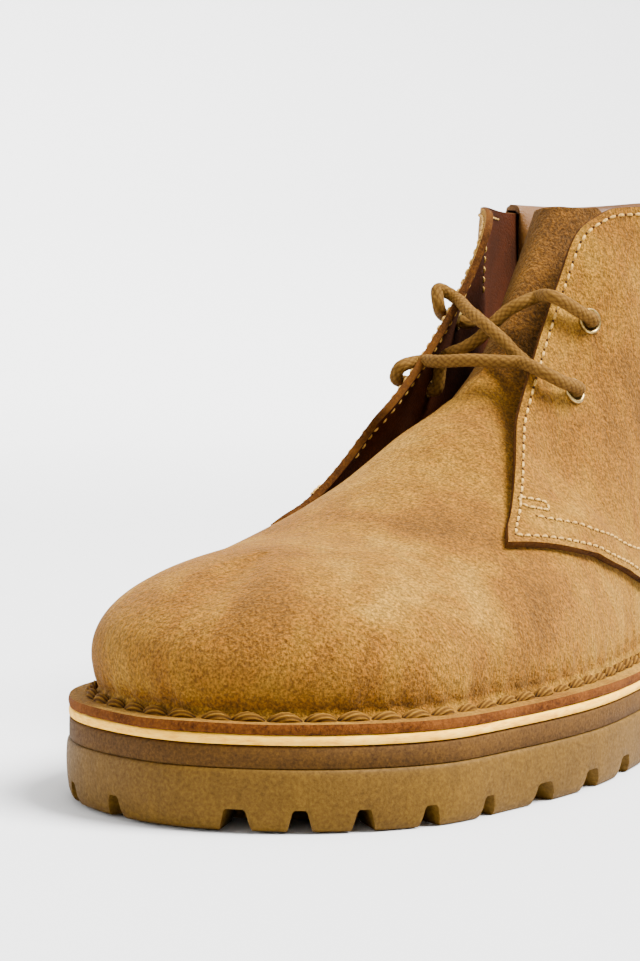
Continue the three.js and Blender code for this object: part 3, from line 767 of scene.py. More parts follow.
def vamp():
    us = row_places(vamp_form, 0, VAMP_END, VAMP_ROWS)[:, None]
    lowest = np.where(us < 9.55, -2.0, -2.0 + 2.64 * smooth((us - 9.55) / 0.35))
    t = np.linspace(0, 1, VAMP_COLUMNS)[None]
    q = unpack_level(mix(pack_level(lowest), 1.0, t))
    us = tongue_tops(us, q)
    folds = 0 * q
    for row, level, depth, width in FOLDS:
        across = np.exp(-(((us - row) * 22 / width / 2.2) ** 2))
        folds -= depth * across * smooth((q - (level - 0.35)) / 0.3)
    halves = []
    for side in (1, -1):
        under = -2.5 * smooth(behind_front(side, us, q) / 0.9)
        halves.append(vamp_form.skin(side * us, q, under + folds + pinch(side, us, q)))
    outer = np.concatenate([halves[0], halves[1][:, -2::-1]], axis=1)
    q = np.concatenate([q, q[:, -2::-1]], axis=1)
    us_all = np.concatenate([us, us[:, -2::-1]], axis=1)
    # The rows come together on the toe's top: a few rounds of averaging make it one smooth dome.
    soft = smooth((q - 0.55) / 0.4) * smooth((8.4 - us_all) / 1.5)
    for _ in range(30):
        up = np.concatenate([outer[1:2, ::-1], outer[:-1]], axis=0)
        down = np.concatenate([outer[1:], 2 * outer[-1:] - outer[-2:-1]], axis=0)
        left = np.concatenate([outer[:, :1], outer[:, :-1]], axis=1)
        right = np.concatenate([outer[:, 1:], outer[:, -1:]], axis=1)
        outer = mix(outer, (up + down + left + right) / 4, soft[..., None])
    before = np.concatenate([outer[1:2, ::-1], outer[:-1]], axis=0)
    after = np.concatenate([outer[1:], outer[-1:]], axis=0)
    normals = unit(np.cross(after - before, np.gradient(outer, axis=1)))
    outer = outer + normals * ripple(outer, 3, 34, 0.12)[..., None]
    inner = outer - normals * thickness(q)[..., None]
    # Painted shade in the crease and just above it, a little lighter along the top, and painted shadow over
    # the tongue, which lies under the quarters.
    painted_shading = -0.09 * np.exp(-((q / 0.035) ** 2)) - 0.02 * np.exp(-((q - 0.12) ** 2) / 0.02)
    painted_shading = painted_shading + 0.05 * np.exp(-((q - 1) ** 2) / 0.05) * smooth((us_all - 2) / 3)
    painted_shading = painted_shading - 0.24 * smooth((us_all - 8.0) / 0.9)
    points, faces, sides = sheet(outer, inner, folded=True)
    extra = len(points) - 2 * q.size
    painted_shadings = np.concatenate([painted_shading.ravel(), painted_shading.ravel(), np.zeros(extra)])
    piece("vamp", points, faces, [SUEDE, LINING, CUT], "suede", ("tongue",), sides, painted_shadings, sharp=45)


# ---------------------------------------------------------------- quarters
QUARTER_FRONT, QUARTER_REAR, QUARTER_COLUMNS = 120, 104, 58
# How far each side's front edge stands off the vamp, more than its thickness: (row, millimetres).
SPLAY = {
    1: [(4.9, 0.0), (5.7, 0.6), (6.4, 2.0), (7.1, 2.8), (7.7, 2.4), (8.3, 1.3), (9.4, 0.8), (10.6, 0.0)],
    -1: [(5.2, 0.0), (5.84, 1.7), (6.1, 3.0), (6.5, 3.8), (6.8, 5.1), (7.1, 6.0), (7.4, 6.2), (7.7, 5.2),
         (7.9, 3.8), (8.15, 1.6), (8.6, 1.6), (9.4, 1.3), (10.0, 0.2), (10.6, 0.0)],
}


def quarter_rise(side, u, q):
    """How far the quarter's outer face is out of the last's surface. Its front edge stands off the vamp."""
    d = behind_front(side, u, q)
    high = 2.3 * (1 - smooth((d - 0.5) / 1.5))
    low = 1.3 * (1 - smooth((d - 0.05) / 0.55))
    splay = np.interp(u, *np.array(SPLAY[side]).T)
    level = np.interp(u, *np.array(FRONT_EDGE[side]).T)
    splay = splay * smooth((q - level + 0.36) / 0.34)
    return mix(low, high, smooth(q / 0.16)) + splay * (1 - smooth(d / 1.5))


def quarter_skin(side, u, q, offset=0.0):
    """A point of the quarter's outer face, or off it."""
    u, q = np.asarray(u, float), np.asarray(q, float)
    return upper_form.skin(side * u, q, quarter_rise(side, u, q) + offset)


THROAT_END = 10.5  # the row where the throat's edge passes into the collar's
CORNER_ROW, CORNER_CUT, CORNER_WIDTH = 10.05, 0.028, 0.32  # in rows, levels and rows


def quarter_grid(side):
    """Rows and levels of the quarter's grid, from its front corner to the heel."""
    seam = spline(np.array([(u, pack_level(q)) for u, q in SEAM[side]]), QUARTER_FRONT, PANEL)
    front = spline(np.array(FRONT_EDGE[side]), 84, PANEL)
    throat = row_places(upper_form, FRONT_EDGE[side][-1][0], THROAT_END, QUARTER_FRONT - 83)
    throat = np.stack([throat, np.ones(QUARTER_FRONT - 83)], -1)
    high = np.vstack([front, throat[1:]])
    rear_low = row_places(upper_form, SEAM_REAR[-1][0], LAST, QUARTER_REAR + 1)[1:]
    rear_high = row_places(upper_form, THROAT_END, LAST, QUARTER_REAR + 1)[1:]
    low = np.vstack([seam, np.stack([rear_low, np.full(QUARTER_REAR, -2 * LOW)], -1)])
    high = np.vstack([high, np.stack([rear_high, np.ones(QUARTER_REAR)], -1)])
    t = np.linspace(0, 1, QUARTER_COLUMNS)
    v = (t - 0.62 * np.sin(2 * math.pi * t) / (2 * math.pi))[None, :, None]
    # The corner between the throat and the collar is cut round.
    high[:, 1] -= CORNER_CUT * np.exp(-(((high[:, 0] - CORNER_ROW) / CORNER_WIDTH) ** 2))
    places = mix(low[:, None], high[:, None], v)
    return places[..., 0], unpack_level(places[..., 1])


EDGE_ROWS = 114


def even_edge(outer):
    """Takes the kinks out of a half's front edge, where the vamp's form turns into the throat's."""
    t = np.linspace(-1, 1, EDGE_ROWS)
    edge = outer[:EDGE_ROWS, -1]
    even = np.polynomial.polynomial.polyval(t, np.polynomial.polynomial.polyfit(t, edge, 5)).T
    held = smooth((1 - np.abs(t)) / 0.2)
    near_edge = smooth((np.linspace(0, 1, QUARTER_COLUMNS) - 0.3) / 0.65)
    moved = outer.copy()
    moved[:EDGE_ROWS] += (even - edge)[:, None] * (held[:, None] * near_edge[None])[..., None]
    return moved


def quarters():
    places = {side: quarter_grid(side) for side in (1, -1)}
    halves = [even_edge(quarter_skin(side, u, q, pinch(side, u, q))) for side, (u, q) in places.items()]
    outer, u_all, q_all = (
        np.concatenate([near, far[-2::-1]]) for near, far in (halves, *zip(places[1], places[-1]))
    )
    # The front edge bends from the vamp up into the throat: averaging takes the corner out of it.
    share = np.linspace(0, 1, QUARTER_COLUMNS)[None]
    soft = smooth((1.15 - np.abs(u_all - 7.95)) / 0.5) * smooth((share - 0.55) / 0.3)
    for _ in range(60):
        middle = outer.copy()
        middle[1:-1] = (outer[:-2] + outer[2:]) / 2
        across = middle.copy()
        across[:, 1:-1] = (outer[:, :-2] + outer[:, 2:]) / 2
        outer = mix(outer, (middle + across) / 2, soft[..., None] * 0.9)
    normals = grid_normals(outer)
    normals[0], normals[-1] = normals[2], normals[-3]
    outer = outer + normals * ripple(outer, 5, 36, 0.16)[..., None]
    inner = outer - normals * thickness(q_all)[..., None]
    # Painted shade in the crease, and a little lighter towards the top.
    painted_shading = -0.09 * np.exp(-((q_all / 0.035) ** 2)) + 0.03 * smooth((q_all - 0.7) / 0.3)
    points, faces, sides = sheet(outer, inner)
    extra = len(points) - 2 * q_all.size
    painted_shadings = np.concatenate([painted_shading.ravel(), painted_shading.ravel(), np.zeros(extra)])
    # The quarters' cut edges take the darker copy, as painted shade.
    finishes = [SUEDE, LINING, SHADED_CUT]
    made = piece("quarters", points, faces, finishes, "suede", ("upper",), sides, painted_shadings, sharp=45)
    return made, outer, normals


EYELET_PLACES = [(1, 8.64, 0.729), (1, 9.34, 0.766), (-1, 8.64, 0.735), (-1, 9.34, 0.77)]
EYELET_HOLE, EYELET_EDGE, EYELET_DOME = 2.3, 3.4, 0.85


def eyelet_frame(place):
    """The centre of an eyelet on the quarter's face, and the direction out of it."""
    side, u, q = place
    centre = quarter_skin(side, u, q)
    step = 0.03
    along = quarter_skin(side, u + step, q) - quarter_skin(side, u - step, q)
    up = quarter_skin(side, u, q + step) - quarter_skin(side, u, q - step)
    return centre, unit(np.cross(along, up) * side)


def turned(profile, centre, axis, around=40):
    """A ring turned round an axis, from a closed profile of (radius, height)."""
    side = unit(np.cross(axis, [0.1, 0.3, 1.0]))
    other = np.cross(axis, side)
    angle = np.arange(around) / around * 2 * math.pi
    ring = np.cos(angle)[:, None] * side + np.sin(angle)[:, None] * other
    profile = np.asarray(profile, float)
    size = len(profile)
    points = centre + ring[:, None] * profile[None, :, 0, None] + axis * profile[None, :, 1, None]
    faces = []
    for a in range(around):
        b = (a + 1) % around
        for k in range(size):
            after = (k + 1) % size
            faces.append([a * size + k, b * size + k, b * size + after, a * size + after])
    return points.reshape(-1, 3), faces


def eyelets():
    angles = np.linspace(0, math.pi, 11)
    width = EYELET_EDGE - EYELET_HOLE
    arch = [(EYELET_HOLE + width * (1 - math.cos(t)) / 2, EYELET_DOME * math.sin(t)) for t in angles]
    low, bore = -SUEDE_THICK - 0.35, EYELET_HOLE + 0.3
    barrel = [(EYELET_EDGE - 0.1, -0.15), (bore, -0.2), (bore, low), (EYELET_HOLE, low)]
    for k, place in enumerate(EYELET_PLACES):
        centre, axis = eyelet_frame(place)
        points, faces = turned(arch + barrel, centre, axis)
        piece(f"eyelet_ring_{k + 1}", points, faces, [BRASS], "antique_brass", (f"eyelet_{k + 1}",), sharp=60)


def punch(panel):
    """The eyelets' holes through the quarters."""
    cutters = []
    for place in EYELET_PLACES:
        centre, axis = eyelet_frame(place)
        radius = EYELET_HOLE + 0.2
        profile = [(0.001, -5), (radius, -5), (radius, 4), (0.001, 4)]
        cutters.append(turned(profile, centre, axis, 32))
    # The holes' walls take the darker cut edge, as painted shade inside the eyelets.
    cut(panel, *joined(cutters), finish=SHADED_CUT)


def cut(panel, points, faces, finish=None):
    """Takes a solid away from a piece."""
    mesh = bpy.data.meshes.new("cutter")
    mesh.from_pydata(to_scene(points).tolist(), [], faces)
    bm = bmesh.new()
    bm.from_mesh(mesh)
    bmesh.ops.remove_doubles(bm, verts=bm.verts, dist=3e-6)
    bmesh.ops.recalc_face_normals(bm, faces=bm.faces)
    bm.to_mesh(mesh)
    bm.free()
    cutter = placed("cutter", mesh)
    if finish:
        mesh.materials.append(finish)
    modifier = panel.modifiers.new("cut", "BOOLEAN")
    modifier.operation, modifier.solver, modifier.object = "DIFFERENCE", "MANIFOLD", cutter
    settle(panel)
    bpy.data.objects.remove(cutter)
    bpy.data.meshes.remove(mesh)


def settle(made):
    """Applies a piece's modifiers."""
    bpy.context.view_layer.update()
    graph = bpy.context.evaluated_depsgraph_get()
    mesh = bpy.data.meshes.new_from_object(made.evaluated_get(graph))
    old = made.data
    made.modifiers.clear()
    made.data = mesh
    bpy.data.meshes.remove(old)


# ---------------------------------------------------------------- stitches
class Ground:
    """The outer face of a panel, to lay stitches on."""

    def __init__(self, outer, normals):
        rows, columns = outer.shape[:2]
        self.outer, self.normals = outer.reshape(-1, 3), normals.reshape(-1, 3)
        self.tree = BVHTree.FromPolygons([Vector(p) for p in self.outer], quads(rows, columns))
        self.near = KDTree(len(self.outer))
        for k, p in enumerate(self.outer):
            self.near.insert(p, k)
        self.near.balance()

    def lay(self, points):
        """The nearest points on the face, and the directions out of it."""
        spots, ups = [], []
        for p in points:
            spot = self.tree.find_nearest(Vector(p))[0]
            up = self.normals[self.near.find(spot)[1]]
            spots.append(np.array(spot))
            ups.append(up)
        return np.array(spots), np.array(ups)


def inset_line(ground, edge, distance):
    """A line on the face, distance inside a line along its edge."""
    edge = np.asarray(edge)
    ups = ground.lay(edge)[1]
    along = unit(np.gradient(edge, axis=0))
    inward = unit(np.cross(ups, along))
    line = edge + inward * distance
    tree = KDTree(len(edge))
    for k, p in enumerate(edge):
        tree.insert(p, k)
    tree.balance()
    clear = np.array([tree.find(p)[2] > distance * 0.93 for p in line])
    line = line[clear]
    return ground.lay(line)[0]


STITCH_PITCH, STITCH_SIZE = 3.0, (2.1, 0.4, 0.3)
NEEDLE_HOLE = 0.36


def stitches(ground, line, pitch=STITCH_PITCH, size=STITCH_SIZE, inside=0.0):
    """Thread parts and needle holes along a line: each stitch dips into a hole at both its ends."""
    count = max(2, int(round(length_of(line) / pitch)) + 1)
    spots, ups = ground.lay(evenly(line, count))
    threads, holes = [], []
    for k in range(count - 1):
        a, b = spots[k], spots[k + 1]
        up = unit(ups[k] + ups[k + 1])
        middle, along = (a + b) / 2, unit(b - a)
        up = unit(up - along * np.dot(up, along))
        across = np.cross(along, up)
        if inside:
            middle = middle - up * inside
            up = -up
        threads.append(lozenge(middle, along, across, up, *size))
        holes.append(disc(a - ups[k] * inside, up, NEEDLE_HOLE))
    return threads, holes


def lozenge(middle, along, across, up, length, width, height):
    """One stitch: a bent grain of thread that goes down at both ends."""
    shares = np.array([-1, -0.8, -0.4, 0, 0.4, 0.8, 1.0])
    angle = np.arange(6) / 6 * 2 * math.pi
    girth = np.sqrt(np.clip(1.08 - shares**2, 0.08, 1))
    rise = height * (0.75 - 1.3 * shares**4)
    centre = middle + along * (shares * length / 2)[:, None] + up * rise[:, None]
    ring = across * np.cos(angle)[:, None] * width + up * np.sin(angle)[:, None] * height
    points = centre[:, None] + ring[None] * girth[:, None, None]
    return points.reshape(-1, 3), hoops(len(shares), len(angle))


def disc(middle, up, radius):
    """A needle hole: a shallow cone at the face, dark with painted shade."""
    side = unit(np.cross(up, [0.3, 0.1, 1.0]))
    other = np.cross(up, side)
    angle = np.arange(8) / 8 * 2 * math.pi
    ring = middle + (np.cos(angle)[:, None] * side + np.sin(angle)[:, None] * other) * radius
    points = np.vstack([ring + up * 0.04, ring * 0.5 + middle * 0.5 + up * 0.12, ring - up * 0.3])
    faces = [[8 + k for k in range(8)], [16 + k for k in range(7, -1, -1)]]
    for k in range(8):
        j = (k + 1) % 8
        faces += [[k, j, 8 + j, 8 + k], [16 + k, 16 + j, j, k]]
    return points, faces


# ---------------------------------------------------------------- sole
def ring(inset, z, count):
    """The sole's outline, inset from its edge, at a height."""
    half = row_places(upper_form, 0, LAST, count // 2 + 1)
    w = np.concatenate([half, -half[-2:0:-1]])
    x, y, _ = upper_form.edge(w, inset)
    return on_last(x, y, z)


def stack(profile, count=360):
    """A closed layer of the sole through rings of (height, inset), bottom to top."""
    points = np.vstack([ring(inset, z, count) for z, inset in profile])
    half, faces = count // 2, hoops(len(profile), count, capped=False)
    for start, flip in ((0, -1), ((len(profile) - 1) * count, 1)):
        for k in range(half):
            face = [k, k + 1, count - k - 1, (count - k) % count]
            face = list(dict.fromkeys(face))[::flip]
            faces.append([start + index for index in face])
    return points, faces


MIDSOLE_Z = OUTSOLE + LAYER_GAP
LEATHER_Z = MIDSOLE_Z + MIDSOLE + LAYER_GAP
RIM_LUG, CHANNEL = 13.0, 4.0
NOTCH_WIDTHS = (5.3, 3.2)  # at the floor and at its top
MOUTH = 1.9  # how many times wider a groove is where it leaves a straighter side
TOE_NOTCH = (0.8, 0.8)  # its row, and how much wider it is to each side
NOTCH_PLACES = {1: [147.5, 139, 126.5, 109.5], -1: [152.5, 142.5, 127, 109]}
NOTCH_RUN = np.arange(88.5, -138, -21)
# The walls of the sole's layers, as rings of (height, inset) from the bottom up.
OUTSOLE_WALL = [(0, 1.7), (0.25, 1.25), (0.8, 0.85), (2.2, 0.35), (LUG, 0.0), (7, -0.15), (9, -0.2)]
OUTSOLE_WALL += [(11, -0.12), (12.4, 0.0), (12.9, 0.15), (13.25, 0.4), (13.42, 0.9)]
DARK_WALL = [(0.0, 1.0), (0.1, 0.7), (0.3, 0.5), (2.3, 0.5), (4.3, 0.55), (4.6, 0.8), (4.8, 1.4)]
PALE_WALL = [(0.0, 1.3), (0.15, 0.75), (0.4, 0.5), (1.2, 0.42), (1.85, 0.5), (2.15, 0.75), (2.3, 1.3)]
INSOLE_WALL = [(0.0, 0), (1.6, 0), (2.5, 0.4), (2.9, 1.4), (2.7, 5), (2.5, 11)]


def row_at(side, x):
    """The row where the sole's edge passes x."""
    rows = np.linspace(0, LAST, 3001)
    return float(np.interp(-x, -upper_form.value("x", side * rows), rows))


def bar(side, u, start, end, wider=0.0, mouth=1.0):
    """A groove's tapered bar across the edge, from one inset to another. Its mouth is mouth times as wide."""
    w = np.array([side * u])
    _, _, out = upper_form.edge(w)
    along = np.array([-out[0, 1], out[0, 0]])
    bottom, top = NOTCH_WIDTHS[0] / 2 + wider, NOTCH_WIDTHS[1] / 2 + wider
    half = [(bottom + 0.4, -1), (bottom - 0.2, 1.0), (top, LUG - 0.5), (top - 0.45, LUG)]
    outline = [(-half[0][0], -1)] + half + [(-shift, z) for shift, z in half[:0:-1]]
    points = []
    for inset, wide in ((start, mouth), (end, 1.0)):
        x, y, _ = upper_form.edge(w, inset)
        for shift, z in outline:
            points.append(on_last(x[0] + along[0] * shift * wide, y[0] + along[1] * shift * wide, z))
    size = len(outline)
    faces = [list(range(size))[::-1], [size + k for k in range(size)]]
    faces += [[k, (k + 1) % size, size + (k + 1) % size, size + k] for k in range(size)]
    return np.array(points), faces


def outsole():
    made = piece(
        "outsole_lugged", *stack(OUTSOLE_WALL), [TAN_RUBBER], "tan_rubber", ("outsole",), sharp=40,
    )
    count = 160
    corners = (RIM_LUG, -1), (RIM_LUG, LUG), (RIM_LUG + CHANNEL, LUG), (RIM_LUG + CHANNEL, -1)
    rings = [ring(inset, z, count) for inset, z in corners]
    channel = []
    for level in range(4):
        a, b = level * count + np.arange(count), level * count + (np.arange(count) + 1) % count
        after = (level + 1) % 4 * count - level * count
        channel += np.stack([a, b, b + after, a + after], -1).tolist()
    cut(made, np.vstack(rings), channel)
    rim, middle = [bar(1, TOE_NOTCH[0], -3, RIM_LUG + 1, TOE_NOTCH[1])], []
    for side in (1, -1):
        rim += [bar(side, row_at(side, x), -3, RIM_LUG + 1) for x in NOTCH_PLACES[side]]
        for x in NOTCH_RUN:
            u = row_at(side, x)
            rim.append(bar(side, u, -3, RIM_LUG + 1, mouth=MOUTH))
            reach = abs(float(upper_form.value("y", np.array([side * u]))[0])) - 0.4
            middle.append(bar(side, u, RIM_LUG + CHANNEL - 1, reach))
    cut(made, *joined(rim))
    cut(made, *joined(middle))
    bevel = made.modifiers.new("rounding", "BEVEL")
    bevel.width, bevel.segments, bevel.limit_method, bevel.angle_limit = 0.00045, 2, "ANGLE", math.radians(50)
    settle(made)
    made.data.polygons.foreach_set("use_smooth", np.ones(len(made.data.polygons), bool))
    made.data.set_sharp_from_angle(angle=math.radians(38))


def layers():
    board, top = FLANGE + CREASE + WALL + 1, LEATHER_TOP + LAYER_GAP
    rows = [
        ("midsole_dark", MIDSOLE_Z - 0.05, 0, DARK_WALL, 360, DARK_RUBBER, "dark_rubber", "midsole", 60),
        ("midsole_pale", LEATHER_Z, 0, PALE_WALL, 360, PALE, "pale_leather", "leather_midsole", 60),
        ("insole_board", top, board, INSOLE_WALL, 240, INSOLE, "lining_leather", "insole", 70),
    ]
    for name, base, inset, wall, count, finish, slot, node, sharp in rows:
        points, faces = stack([(base + z, inset + more) for z, more in wall], count)
        piece(name, points, faces, [finish], slot, (node,), sharp=sharp)


# ---------------------------------------------------------------- chunky stitches in the crease
WELT_RADIUS, WELT_STATIONS, WELT_AROUND = 1.35, 21, 28
STRAND_DEPTH = 0.24  # as a share of the radius


def welt_stitches():
    """Fat waxed stitches in the crease, each a bundle of strands, drawn in at both ends, with painted shade
    in the grooves between strands and at both ends.
    """
    rng = np.random.default_rng(11)
    lobes, painted_shadings = [], []
    for side in (1, -1):
        lengths = CREASE_LENGTHS[side]
        for k in range(1 if side < 0 else 0, int(lengths[-1] / WELT_PITCH) + 1):
            middle = k * WELT_PITCH + rng.uniform(-0.5, 0.5)
            half = rng.uniform(3.6, 4.1)
            s = np.linspace(middle - half, middle + half, WELT_STATIONS)
            u = np.interp(np.abs(s), lengths, _w) * np.sign(s)
            share = np.linspace(-1, 1, WELT_STATIONS)
            lift = 0.55 - 1.4 * share**2 + rng.uniform(-0.25, 0.2)
            path = upper_form.skin(side * u, np.full(WELT_STATIONS, -0.86), lift)
            radius = (WELT_RADIUS + rng.uniform(-0.1, 0.14)) * np.sqrt(1.06 - share**2)
            turn = rng.uniform(0, 6.28)

            def strands(along, angle):
                return -STRAND_DEPTH * np.abs(np.sin(3.5 * angle + along * 0.75 + turn)) ** 1.5

            points, faces, height = tube(path, radius, WELT_AROUND, strands)
            lobes.append((points, faces))
            # The grooves' depth and the ends go into the attribute as painted shade.
            painted_shadings.append(height - 0.25 * np.repeat(share**4, WELT_AROUND))
    points, faces = joined(lobes)
    painted_shading = np.concatenate(painted_shadings)
    piece("crease_stitches", points, faces, [CHUNKY], "suede", sharp=75, painted_shading=painted_shading, weld=False)


# ---------------------------------------------------------------- padded collar
COLLAR_FROM, COLLAR_ROWS = 12.1, 150
# The pad's section: how far below the top edge, and how far out of the last's surface.
COLLAR_SECTION = [(23.6, 0.9), (22.8, 1.9), (20.5, 3.2), (16, 4.5), (11, 5.0), (6, 4.6), (2, 3.4)]
COLLAR_SECTION += [(-1.6, 1.2), (-2.6, -1.0), (-1.4, -3.6), (3, -5.8), (9, -6.7), (15, -6.3), (19.5, -4.9)]
COLLAR_SECTION += [(21.8, -3.1), (20, -2.7), (10, -2.75), (-0.7, -2.8), (-0.9, -1.0), (-0.7, 0.8), (10, 0.75)]
COLLAR_SECTION += [(20, 0.7)]
PAD_END, PAD_CORNER = 5.0, 7.5  # how far from its ends the pad thins, and gets shorter
PAD_OUTER, PAD_INNER = 0.75, -2.8  # the levels of the pad's own flat sides, on the wall's two faces
PUCKER, PUCKER_PITCH = 0.16, 5.2


def collar():
    section = np.array(COLLAR_SECTION)
    closed = np.vstack([section, section[:1]])
    section = evenly(spline(closed, 400), 61)[:-1]
    half = row_places(upper_form, COLLAR_FROM, LAST, COLLAR_ROWS)
    w = np.concatenate([half, -half[-2::-1]])
    edge = upper_form.point(w, 0 * w + 1)
    s = lengths_along(edge)
    end = np.minimum(s, s[-1] - s)
    plump = np.sqrt(1 - (1 - np.clip(end / PAD_END, 0.03, 1)) ** 2)
    round_end = np.sqrt(np.clip(1 - (1 - np.clip(end / PAD_CORNER, 0, 1)) ** 2, 0, 1))
    corner = 1 - 0.3 * (1 - round_end)
    below = np.where(section[None, :, 0] > 0, section[None, :, 0] * corner[:, None], section[None, :, 0])
    out = section[None, :, 1] * np.ones_like(below)
    outside = np.where(out > 0, PAD_OUTER + (out - PAD_OUTER) * plump[:, None], out)
    out = np.where(out < PAD_INNER, PAD_INNER + (out - PAD_INNER) * plump[:, None], outside)
    # Soft puckers run in from the seam under the pad, and its face is a little uneven.
    low = smooth((below - 15) / 8) * (np.abs(out - 0.7) > 0.2)
    pucker = PUCKER * np.sin(s * 2 * math.pi / PUCKER_PITCH + np.sin(s * 0.21) * 2)[:, None] * low
    height = length_up(w)
    tight = out + np.sign(out + 1) * pucker * (np.abs(out + 1) > 2)
    places, levels = w[:, None] + 0 * below, 1 - below / height[:, None]
    points = upper_form.skin(places, levels, tight)
    swell = ripple(points, 8, 22, 0.2)[..., None] * (np.abs(out + 1) > 2.6)[..., None]
    points = points + upper_form.normal(places, np.clip(levels, 0, 1)) * swell
    faces = hoops(*points.shape[:2])
    points = points.reshape(-1, 3)
    made = piece("collar", points, faces, [COLLAR], "collar_leather", ("collar_pad",), sharp=70)


def length_up(w):
    """How long the side is from the crease to the top at each place round the loop."""
    points = upper_form.point(w[:, None], np.linspace(0, 1, 41)[None])
    return np.linalg.norm(np.diff(points, axis=1), axis=-1).sum(1)


# ---------------------------------------------------------------- lace
LACE_RADIUS = 1.62
BRAID_STRANDS, BRAID_PITCH, BRAID_DEPTH = 7, 2.1, 0.1


def weave(along, angle):
    """The relief of the braid: two families of strands that pass over and under each other."""
    a = BRAID_STRANDS * angle / (2 * math.pi) + along / BRAID_PITCH
    b = BRAID_STRANDS * angle / (2 * math.pi) - along / BRAID_PITCH
    over = (np.floor(a) + np.floor(b)) % 2 < 1
    first, second = np.sin(math.pi * (a % 1)), np.sin(math.pi * (b % 1))
    above, below = np.where(over, first, second), np.where(over, second, first)
    return BRAID_DEPTH * (above**0.7 * (0.75 + 0.25 * below) - 0.72)


def tongue_point(share, u, height):
    """Above the tongue: share goes from -1 over the inner edge of the throat to 1 over the outer one."""
    near = quarter_skin(1, u, 0.99, -SUEDE_THICK)
    far = quarter_skin(-1, u, 0.99, -SUEDE_THICK)
    across = mix(far, near, (share + 1) / 2)
    ridge = vamp_form.point(u, 1.0)
    level = ridge[2] - 4.0 * share**2 + height
    return across * [1, 1, 0] + [0, 0, level] + (ridge - across) * [0.5, 0, 0]


def lace_route():
    inside = -SUEDE_THICK - LACE_RADIUS - 0.5
    above = LACE_RADIUS + 0.25
    frames = [eyelet_frame(place) for place in EYELET_PLACES]

    def through(k, *heights):
        return [frames[k][0] + frames[k][1] * height for height in heights]

    end_far = quarter_skin(-1, 9.55, 0.72, inside - 1)
    end_near = quarter_skin(1, 9.55, 0.72, inside - 1)
    # From inside, out of the upper far eyelet, over the edge and down under the near quarter.
    route = [end_far] + through(3, -4.2, -0.6, 1.8)
    route += [quarter_skin(-1, 9.13, 0.955, above + 1.4), quarter_skin(-1, 9.25, 0.95, above + 3.2)]
    route += [tongue_point(-1.16, 9.2, 8.2), tongue_point(-0.46, 8.86, 7.6), tongue_point(0.02, 8.66, 7.4)]
    route += [tongue_point(0.42, 8.6, 5.0), tongue_point(0.6, 8.58, 3.6), quarter_skin(1, 8.52, 0.93, inside)]
    # Out of the lower near eyelet, across as the bar, and round the far edge into the lower far eyelet.
    route += through(0, -4.4, -0.8, 1.7)
    route += [quarter_skin(1, 8.38, 0.86, above + 1.2), quarter_skin(1, 8.32, 0.944, above + 1.0)]
    route += [tongue_point(0.78, 8.36, 6.0), tongue_point(0.55, 8.25, 6.5), tongue_point(0.02, 8.14, 7.0)]
    route += [tongue_point(-0.54, 8.22, 6.6), tongue_point(-1.06, 8.46, 6.2)]
    route += [quarter_skin(-1, 8.34, 0.96, above + 0.9), quarter_skin(-1, 8.3, 0.9, above + 0.9)]
    route += through(2, 1.7, -0.8, -3.6) + [quarter_skin(-1, 8.75, 0.88, inside)]
    # Under the first strand, over the near edge and into the upper near eyelet.
    route += [tongue_point(-0.4, 8.68, 2.2), tongue_point(-0.18, 8.76, 2.6), tongue_point(-0.02, 8.86, 3.6)]
    route += [tongue_point(0.22, 8.96, 5.2), tongue_point(0.46, 9.02, 6.5), tongue_point(0.7, 9.16, 6.0)]
    route += [quarter_skin(1, 9.15, 0.99, above + 3.0), quarter_skin(1, 9.18, 0.94, above + 2.8)]
    route += [quarter_skin(1, 9.24, 0.86, above + 1.8)] + through(1, 1.6, -0.6, -4.2) + [end_near]
    return np.array(route)


def lace():
    rough = spline(lace_route(), 1200)
    path = evenly(rough, int(length_of(rough) / 0.25))
    points, faces, height = tube(path, LACE_RADIUS, 48, weave)
    nodes = ("lace_bar", "lace_cross")
    # The weave's relief goes into the attribute, for painted shade in its hollows.
    piece("lace", points, faces, [LACE], "lace_cord", nodes, painted_shading=height, sharp=80, weld=False)


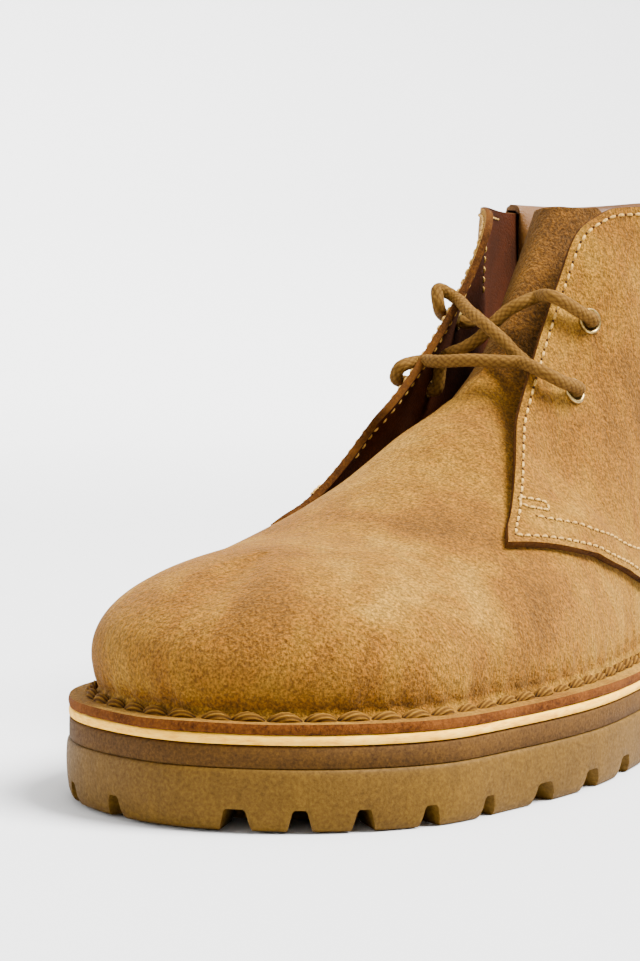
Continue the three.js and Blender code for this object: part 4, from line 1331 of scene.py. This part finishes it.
# ---------------------------------------------------------------- the panels' stitching
# Lines on a panel, as rows and levels.
SECOND_ROW = [(5.5, 0.528), (5.68, 0.485), (5.88, 0.445), (6.25, 0.388), (6.8, 0.336), (7.4, 0.29)]
SECOND_ROW += [(8.2, 0.23), (8.9, 0.175), (9.35, 0.13), (9.75, 0.03)]
BAR_TACK = [(5.55, 0.605), (5.68, 0.569), (5.83, 0.538), (5.74, 0.515), (5.57, 0.552), (5.47, 0.579)]
BAR_TACK += BAR_TACK[:1]
FACING = [(10.75, 0.985), (10.55, 0.9), (10.4, 0.8), (10.3, 0.68)]
EDGE_INSET, INSIDE_INSET, INSIDE_SIZE, TACK_PITCH = 1.9, 2.3, (1.7, 0.3, 0.2), 2.3
FAR_SET_BACK = 0.18  # rows by which the far side's second row and tack start further back


def panel_stitching(outer, normals):
    ground = Ground(outer, normals)
    threads, holes = [], []

    def sew(line, **settings):
        more_threads, more_holes = stitches(ground, line, **settings)
        threads.extend(more_threads)
        holes.extend(more_holes)

    rows = len(outer)
    middle = rows // 2
    collar_row = QUARTER_FRONT + 22
    for side in (1, -1):
        half = outer[: middle + 1] if side > 0 else outer[: middle - 1 : -1]
        upper_edge, lower_edge = half[:collar_row, -1], half[: QUARTER_FRONT - 12, 0]
        edge = np.vstack([upper_edge[::-1], lower_edge[1:]])
        edge = evenly(edge, int(length_of(edge) / 0.5))
        edge = edge if side > 0 else edge[::-1]
        sew(inset_line(ground, edge, EDGE_INSET))
        back = 0.0 if side > 0 else FAR_SET_BACK
        second = spline([(u + back, q - 0.2 * back) for u, q in SECOND_ROW], 120, PANEL)
        sew(quarter_skin(side, second[:, 0], second[:, 1]))
        tack = evenly(np.array([(u + back, q - 0.25 * back) for u, q in BAR_TACK]), 60, np.array(PANEL))
        sew(quarter_skin(side, tack[:, 0], tack[:, 1]), pitch=TACK_PITCH)
        front = edge if side > 0 else edge[::-1]
        front = evenly(front[: int(len(front) * 0.5)], 200)
        front = front if side > 0 else front[::-1]
        sew(inset_line(ground, front, INSIDE_INSET), size=INSIDE_SIZE, inside=SUEDE_THICK)
        facing = spline(FACING, 60, PANEL)
        sew(quarter_skin(side, facing[:, 0], facing[:, 1]), inside=SUEDE_THICK)
    points, faces = joined(threads)
    piece("seam_thread", points, faces, [THREAD], "suede", sharp=80, weld=False)
    # Dark cones of painted shade stand for the needle holes.
    points, faces = joined(holes)
    piece("painted_hole_shades", points, faces, [HOLE_SHADE], "suede", sharp=80, weld=False)


vamp()
quarter_piece, quarter_outer, quarter_normals = quarters()
punch(quarter_piece)
eyelets()
outsole()
layers()
welt_stitches()
collar()
lace()
panel_stitching(quarter_outer, quarter_normals)


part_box("outsole")
